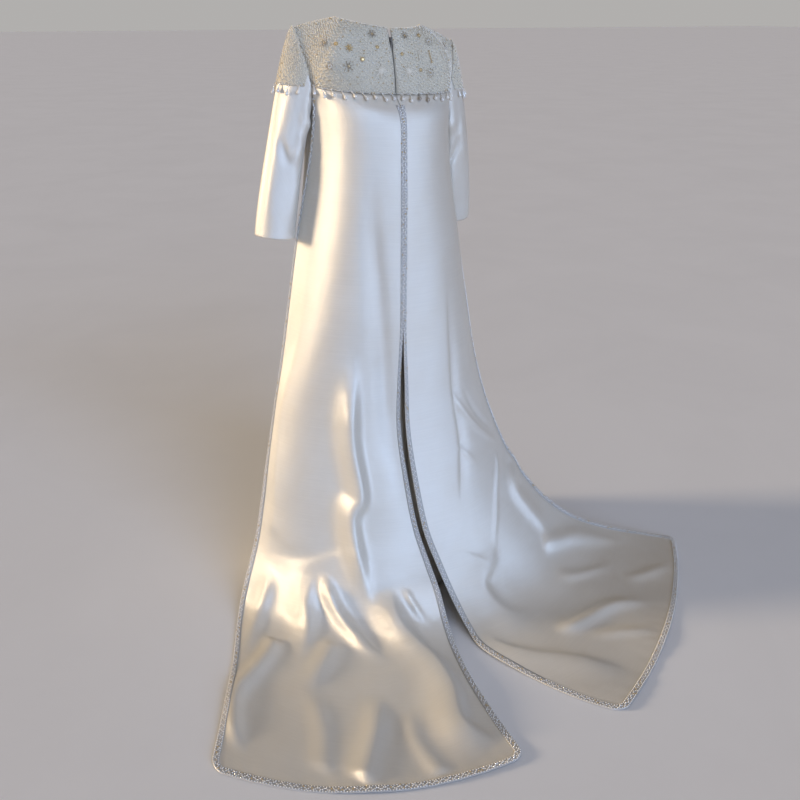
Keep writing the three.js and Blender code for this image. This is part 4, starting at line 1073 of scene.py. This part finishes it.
def sleeveAt(side, index, down):
    own = sleeveCut[side]
    index, down = np.broadcast_arrays(np.asarray(index, float), np.asarray(down, float))
    turn = 2 * math.pi * index / loopCount
    start = aroundLoop(index) + np.array([sleeveCut["clear"], 0, 0])
    axis = unit(np.array(own["along"], float))
    deepWay = unit(np.array([0, 1, 0]) - axis * axis[1])
    acrossWay = -np.cross(deepWay, axis)
    cos, sin = np.cos(turn)[..., None], np.sin(turn)[..., None]
    end = np.array(own["cuff"], float) + acrossWay * own["halfAcross"] * cos + deepWay * own["halfDeep"] * sin
    way = mix(np.array(sleeveCut["upper"]), np.array(sleeveCut["under"]), (1 - cos) / 2)
    way = way + np.concatenate([np.zeros_like(sin), sleeveCut["spread"] * sin, np.zeros_like(sin)], axis=-1)
    return hermite(start, unit(way) * sleeveCut["pull"], end, axis * sleeveCut["cuffPull"], down[..., None])


def sleeveGirth(down):
    return np.full(np.shape(down), sleeveCut["girth"])


def capShare(side, index):  # how far down each line passes the cap's lower edge
    near, far = sleeveCut["capReach"]
    low, high = np.full(len(index), near), np.full(len(index), far)
    short = sleeveAt(side, index, low)[:, 2] < -sleeveCut["capDrop"]
    for _ in range(30):
        middle = (low + high) / 2
        above = sleeveAt(side, index, middle)[:, 2] > -sleeveCut["capDrop"]
        low, high = np.where(above, middle, low), np.where(above, high, middle)
    return np.where(short, near, low)


sleevePieces, capPieces, capBeadPieces = {}, {}, {}
topLines = np.nonzero(armLoop[:, 2] > -sleeveCut["capFrom"])[0]
capTurn = int(np.nonzero(np.diff(topLines) > 1)[0][0])
capFrom, capTo = topLines[capTurn + 1] - loopCount, topLines[capTurn]
for side in ("left", "right"):
    index = np.linspace(0, loopCount, sleeveCut["around"], endpoint=False)[None]
    rows = np.linspace(0, 1, sleeveCut["rowsDown"])[:, None]
    share, down = np.broadcast_arrays(index / loopCount, rows)
    lifted = foldLift(sleeveFolds[side], share, down, sleeveGirth, sleeveCut["long"])
    grid = carried(sleeveAt(side, index, rows), side)
    if side == "right":
        grid, lifted = grid[:, ::-1], lifted[:, ::-1]
    grid = grid + gridNormals(grid, around=True) * (lifted * ease(down, 0.02, 0.2) * mm)[..., None]
    sleeve = clothObject(f"sleeve.{side}", grid, [satin, lining], sleeveCut["wall"] * mm, around=True)
    sleevePieces[side] = dressPiece(sleeve, [f"sleeve_{side}"])
    index = np.linspace(capFrom, capTo, 60)
    share = capShare(side, index)
    own = sleeveAt(side, index[None], share[None] * np.linspace(0, 1, 30)[:, None] ** capWork["power"])
    cap = carried(own, side)
    if side == "right":
        cap = cap[:, ::-1]
    normals = gridNormals(cap)
    cloth = clothObject(f"cap.{side}", cap + normals * capWork["lift"] * mm, shadedBeadCloth, capWork["wall"] * mm)
    capPieces[side] = dressPiece(cloth, [f"cap_{side}"])
    bag = BeadBag()
    places, ways, along = vermicelli(cap, normals, capWork["beadRows"], capWork["beadLift"])
    sewSeeds(bag, places, ways, along)
    capBeadPieces[side] = bag.piece(f"beads.cap.{side}", seedBeads, "beadwork")
    print("cap", side, len(places), "beads")


# Fringe: a corded bead edge with pearl drops, long and short by turns

fringeWork = dict(steps=80, spacing=23, lengths=(17, 22), bulb=4.1, clear=1.6, bandWall=1.6, cordPitch=3.0,
                  cordBead=(1.5, 1.5, 1.4))
dropShape = lathe([(0, 0), (0.26, -0.04), (0.26, -0.12), (0.16, -0.15), (0.26, -0.19), (0.26, -0.27),
                   (0.16, -0.3), (0.24, -0.34), (0.3, -0.42), (0.5, -0.54), (0.8, -0.68), (0.98, -0.8),
                   (0.95, -0.89), (0.66, -0.97), (0, -1)], 10)


def hangDrops(bag, edge, ways, falls, base):
    at = alongPath(edge, fringeWork["spacing"] * mm)
    number = len(at)
    face, out, fall = pickAlong(at, edge, ways, falls)
    long = np.array([fringeWork["lengths"][i % 2] for i in range(number)])[:, None] * mm
    root = face - fall * 2 * mm + out * (base + 0.9 * fringeWork["bandWall"]) * mm
    tip = face + fall * long + out * (fringeWork["bulb"] + fringeWork["clear"]) * mm
    reach = np.linalg.norm(tip - root, axis=1)
    bulb = np.full(number, fringeWork["bulb"] * mm)
    scale = np.stack([bulb, bulb, reach], axis=1)
    tone = np.where(rng.random(number) > 0.9, 0.98, rng.random(number) * 0.8)
    bag.add(dropShape, root, unit(root - tip), np.cross(unit(root - tip), out), scale, tone)
    cord = edge - falls * 1.5 * mm + ways * (base + 0.8) * mm
    at = alongPath(cord, fringeWork["cordPitch"] * mm)
    rows = pickAlong(at, cord, ways, np.gradient(edge, axis=0))
    bag.add(beadShape, *rows, np.array(fringeWork["cordBead"]) * mm, 0.3 + 0.69 * rng.random(len(at)))


for side in ("left", "right"):
    place = np.linspace(0, yokeCut["backCorner"], fringeWork["steps"])
    own = zipSpread(yokeAt(place, 1.0))
    across = place / yokeCut["backCorner"]
    fall = panelAt(side, across, 0.015) - panelAt(side, across, 0.0)
    over = panelAt(side, across + 0.05, 0.015) - panelAt(side, across - 0.05, 0.015)
    out = unit(np.cross(over, fall))
    edge = carried(own, side)
    flip = np.array([1 if side == "left" else -1, 1, 1])
    bag = BeadBag()
    hangDrops(bag, edge, out * flip, unit(fall) * flip, cut["seamGap"])
    name = f"back.{side}"
    bag.piece(f"drops.yoke.{name}", pearlDrops, "pearl", [f"drops_yoke_back_{side}"])
place = np.linspace(yokeCut["frontCorner"], yokeCut["centreFront"], fringeWork["steps"])
own = yokeAt(place, 1.0)
share = (place - yokeCut["frontCorner"]) / (yokeCut["centreFront"] - yokeCut["frontCorner"])
degrees = mix(cut["armFront"], 180, share)
depth = topEdge(degrees)
fall = unit((figureAt(depth + 25, degrees) - figureAt(depth, degrees)) * np.array([0, 1, 1]))
out = unit(figureAt(depth, degrees) * np.array([0, 1, 0]))
mirror = np.array([-1, 1, 1])
edge = np.concatenate([carried(own), carried(own, "right")[::-1][1:]])
bag = BeadBag()
wholeOut = np.concatenate([out, (out * mirror)[::-1][1:]])
wholeFall = np.concatenate([fall, (fall * mirror)[::-1][1:]])
hangDrops(bag, edge, wholeOut, wholeFall, cut["seamGap"])
bag.piece("drops.yoke.front", pearlDrops, "pearl", ["drops_yoke_front"])
for side in ("left", "right"):
    index = np.linspace(capFrom, capTo, fringeWork["steps"])
    share = capShare(side, index)
    edge = carried(sleeveAt(side, index, share), side)
    fall = unit(carried(sleeveAt(side, index, share + 0.05), side) - edge)
    over = np.gradient(edge, axis=0)
    out = unit(np.cross(fall, over))
    middle = edge.mean(axis=0)
    out *= np.sign(((edge - middle) * out).sum())
    bag = BeadBag()
    hangDrops(bag, edge, out, fall, 2 * cut["seamGap"] + 2.4)
    bag.piece(f"drops.cap.{side}", pearlDrops, "pearl", [f"drops_cap_{side}"])
print("fringes hung")


# Zip

zipWork = dict(tape=22, end=470, sliderDrop=49, behind=3.5, behindLow=4.2, behindSkirt=1.9, dish=1.5, wall=1.0,
               teeth=(4.0, 128.0, 1.9), tooth=(0.5, 0.7, 0.8), toothBehind=1.3, meshed=0.45)


def zipLine(down):
    down = np.asarray(down, float)
    point = yokeAt(np.zeros_like(down), down)
    centre = np.zeros_like(down)
    fall = yokeAt(centre, np.minimum(down + 0.02, 1)) - yokeAt(centre, down - 0.02)
    fall[..., 0] = 0
    fall = unit(fall)
    return point, fall, np.stack([np.zeros_like(down), -fall[..., 2], fall[..., 1]], axis=-1)


neckBack, seamBack = yokeAt(0.0, 0.0), yokeEdge(0.0)
sliderDown = (zipWork["sliderDrop"] + neckBack[2]) / (neckBack[2] - seamBack[2])
downs = np.linspace(sliderDown - 0.05, 1, 40)
point, fall, out = zipLine(downs)
upperTape = point - out * mix(zipWork["behind"], zipWork["behindLow"], downs)[:, None]
lowTape = figureAt(np.linspace(cut["yokeBack"], zipWork["end"], 50), 0.0, -zipWork["behindSkirt"])[1:]
middle = np.concatenate([upperTape, lowTape])
tapeColumns = [middle + np.array([s * zipWork["tape"] / 2, -zipWork["dish"] * abs(s), 0])
               for s in np.linspace(-1, 1, 13)]
tapeGrid = carried(np.stack(tapeColumns, axis=1))[:, ::-1]
tape = clothObject("zip.tape", tapeGrid, tapeShadeCloth, zipWork["wall"] * mm)
zipTape = dressPiece(tape, ["zip_tape"])
teethDrop = np.arange(*zipWork["teeth"])
teethDown = teethDrop / (neckBack[2] - seamBack[2])
point, fall, out = zipLine(teethDown)
opened = tableAt(yokeCut["zipHalf"], teethDrop)[:, 0] - 0.5
teeth = BeadBag()
for sign in (1, -1):
    aside = np.where(teethDrop < zipWork["sliderDrop"], opened, zipWork["meshed"])[:, None] * sign
    across = np.array([1.0, 0, 0])
    places = carried(point - out * zipWork["toothBehind"] + across * aside - fall * zipWork["meshed"] * sign)
    ways = np.broadcast_to(across, places.shape)
    teeth.add(bugleShape, places, ways, fall, np.array(zipWork["tooth"]) * mm, 0.5)
zipTeeth = teeth.piece("zip.teeth", zipShadeMetal, "zip_metal")
# Slider and pull take the same near-black metal, painted shade for the shadowed zip line.
for node in ("zip_slider", "zip_pull"):
    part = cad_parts[node]
    part.data.materials.clear()
    part.data.materials.append(zipShadeMetal)
print("zip set in")


# Floor, light and camera

studio = dict(
    floor=(0.80, 0.81, 0.83, 1), floorSize=160.0, world=(0.92, 0.80, 0.70, 1), worldStrength=0.2,
    backdrop=(0.44, 0.43, 0.42, 1),
    lens=38.25, sensor=36.0, cameraAt=(0.787, 1.926, 0.005), yaw=23.8, pitch=24.5,
    lights=[  # name, azimuth and elevation it comes from in degrees, softness in degrees, strength, colour
        ("key", -22, 11, 9, 2.75, (1.0, 0.80, 0.57)), ("fill", 100, 13, 44, 2.5, (0.47, 0.65, 1.0)),
        ("top", 60, 75, 60, 0.3, (1.0, 0.90, 0.80))],
)


def setStage():
    size, level = studio["floorSize"] / 2, -cut["floorDrop"] * mm
    corners = [(-size, -size, level), (size, -size, level), (size, size, level), (-size, size, level)]
    material, tree, shader = newMaterial("floor paint")
    worn = tuple(0.94 * v for v in studio["floor"][:3]) + (1,)
    tone = placed(tree, toneGroup, Clean=studio["floor"], Aged=worn, Patch_Size=1.5, Amount=0.6)
    tree.links.new(tone.outputs["Color"], shader.inputs["Base Color"])
    shader.inputs["Roughness"].default_value = 0.9
    shader.inputs["Specular IOR Level"].default_value = 0.1
    floor = makeObject("floor", corners, [(0, 1, 2, 3)], material, smooth=False)
    world = bpy.data.worlds.new("studio")
    world.use_nodes = True
    background = world.node_tree.nodes["Background"]
    background.inputs["Color"].default_value = studio["world"]
    background.inputs["Strength"].default_value = studio["worldStrength"]
    backdrop = addNode(world.node_tree, "ShaderNodeBackground", {"Color": studio["backdrop"]})
    seen = addNode(world.node_tree, "ShaderNodeLightPath")
    either = addNode(world.node_tree, "ShaderNodeMixShader")
    link = world.node_tree.links.new
    link(seen.outputs["Is Camera Ray"], either.inputs["Fac"])
    link(background.outputs[0], either.inputs[1])
    link(backdrop.outputs[0], either.inputs[2])
    link(either.outputs[0], world.node_tree.nodes["World Output"].inputs["Surface"])
    bpy.context.scene.world = world
    for name, azimuth, elevation, softness, strength, color in studio["lights"]:
        lamp = bpy.data.lights.new(name, "SUN")
        lamp.energy, lamp.angle, lamp.color = strength, math.radians(softness), color
        obj = bpy.data.objects.new(name, lamp)
        flat, high = math.radians(azimuth), math.radians(elevation)
        source = Vector((math.cos(flat) * math.cos(high), math.sin(flat) * math.cos(high), math.sin(high)))
        obj.location = source * 4
        obj.rotation_euler = (-source).to_track_quat("-Z", "Y").to_euler()
        bpy.context.collection.objects.link(obj)
    bpy.context.scene.view_settings.view_transform = "Standard"
    yaw, pitch = math.radians(studio["yaw"]), math.radians(studio["pitch"])
    look = Vector((-math.sin(yaw) * math.cos(pitch), -math.cos(yaw) * math.cos(pitch), -math.sin(pitch)))
    lens = bpy.data.cameras.new("camera")
    lens.lens, lens.sensor_width, lens.sensor_fit = studio["lens"], studio["sensor"], "HORIZONTAL"
    camera = bpy.data.objects.new("camera", lens)
    camera.location = studio["cameraAt"]
    camera.rotation_euler = look.to_track_quat("-Z", "Y").to_euler()
    bpy.context.collection.objects.link(camera)
    bpy.context.scene.camera = camera


setStage()
print("stage set")
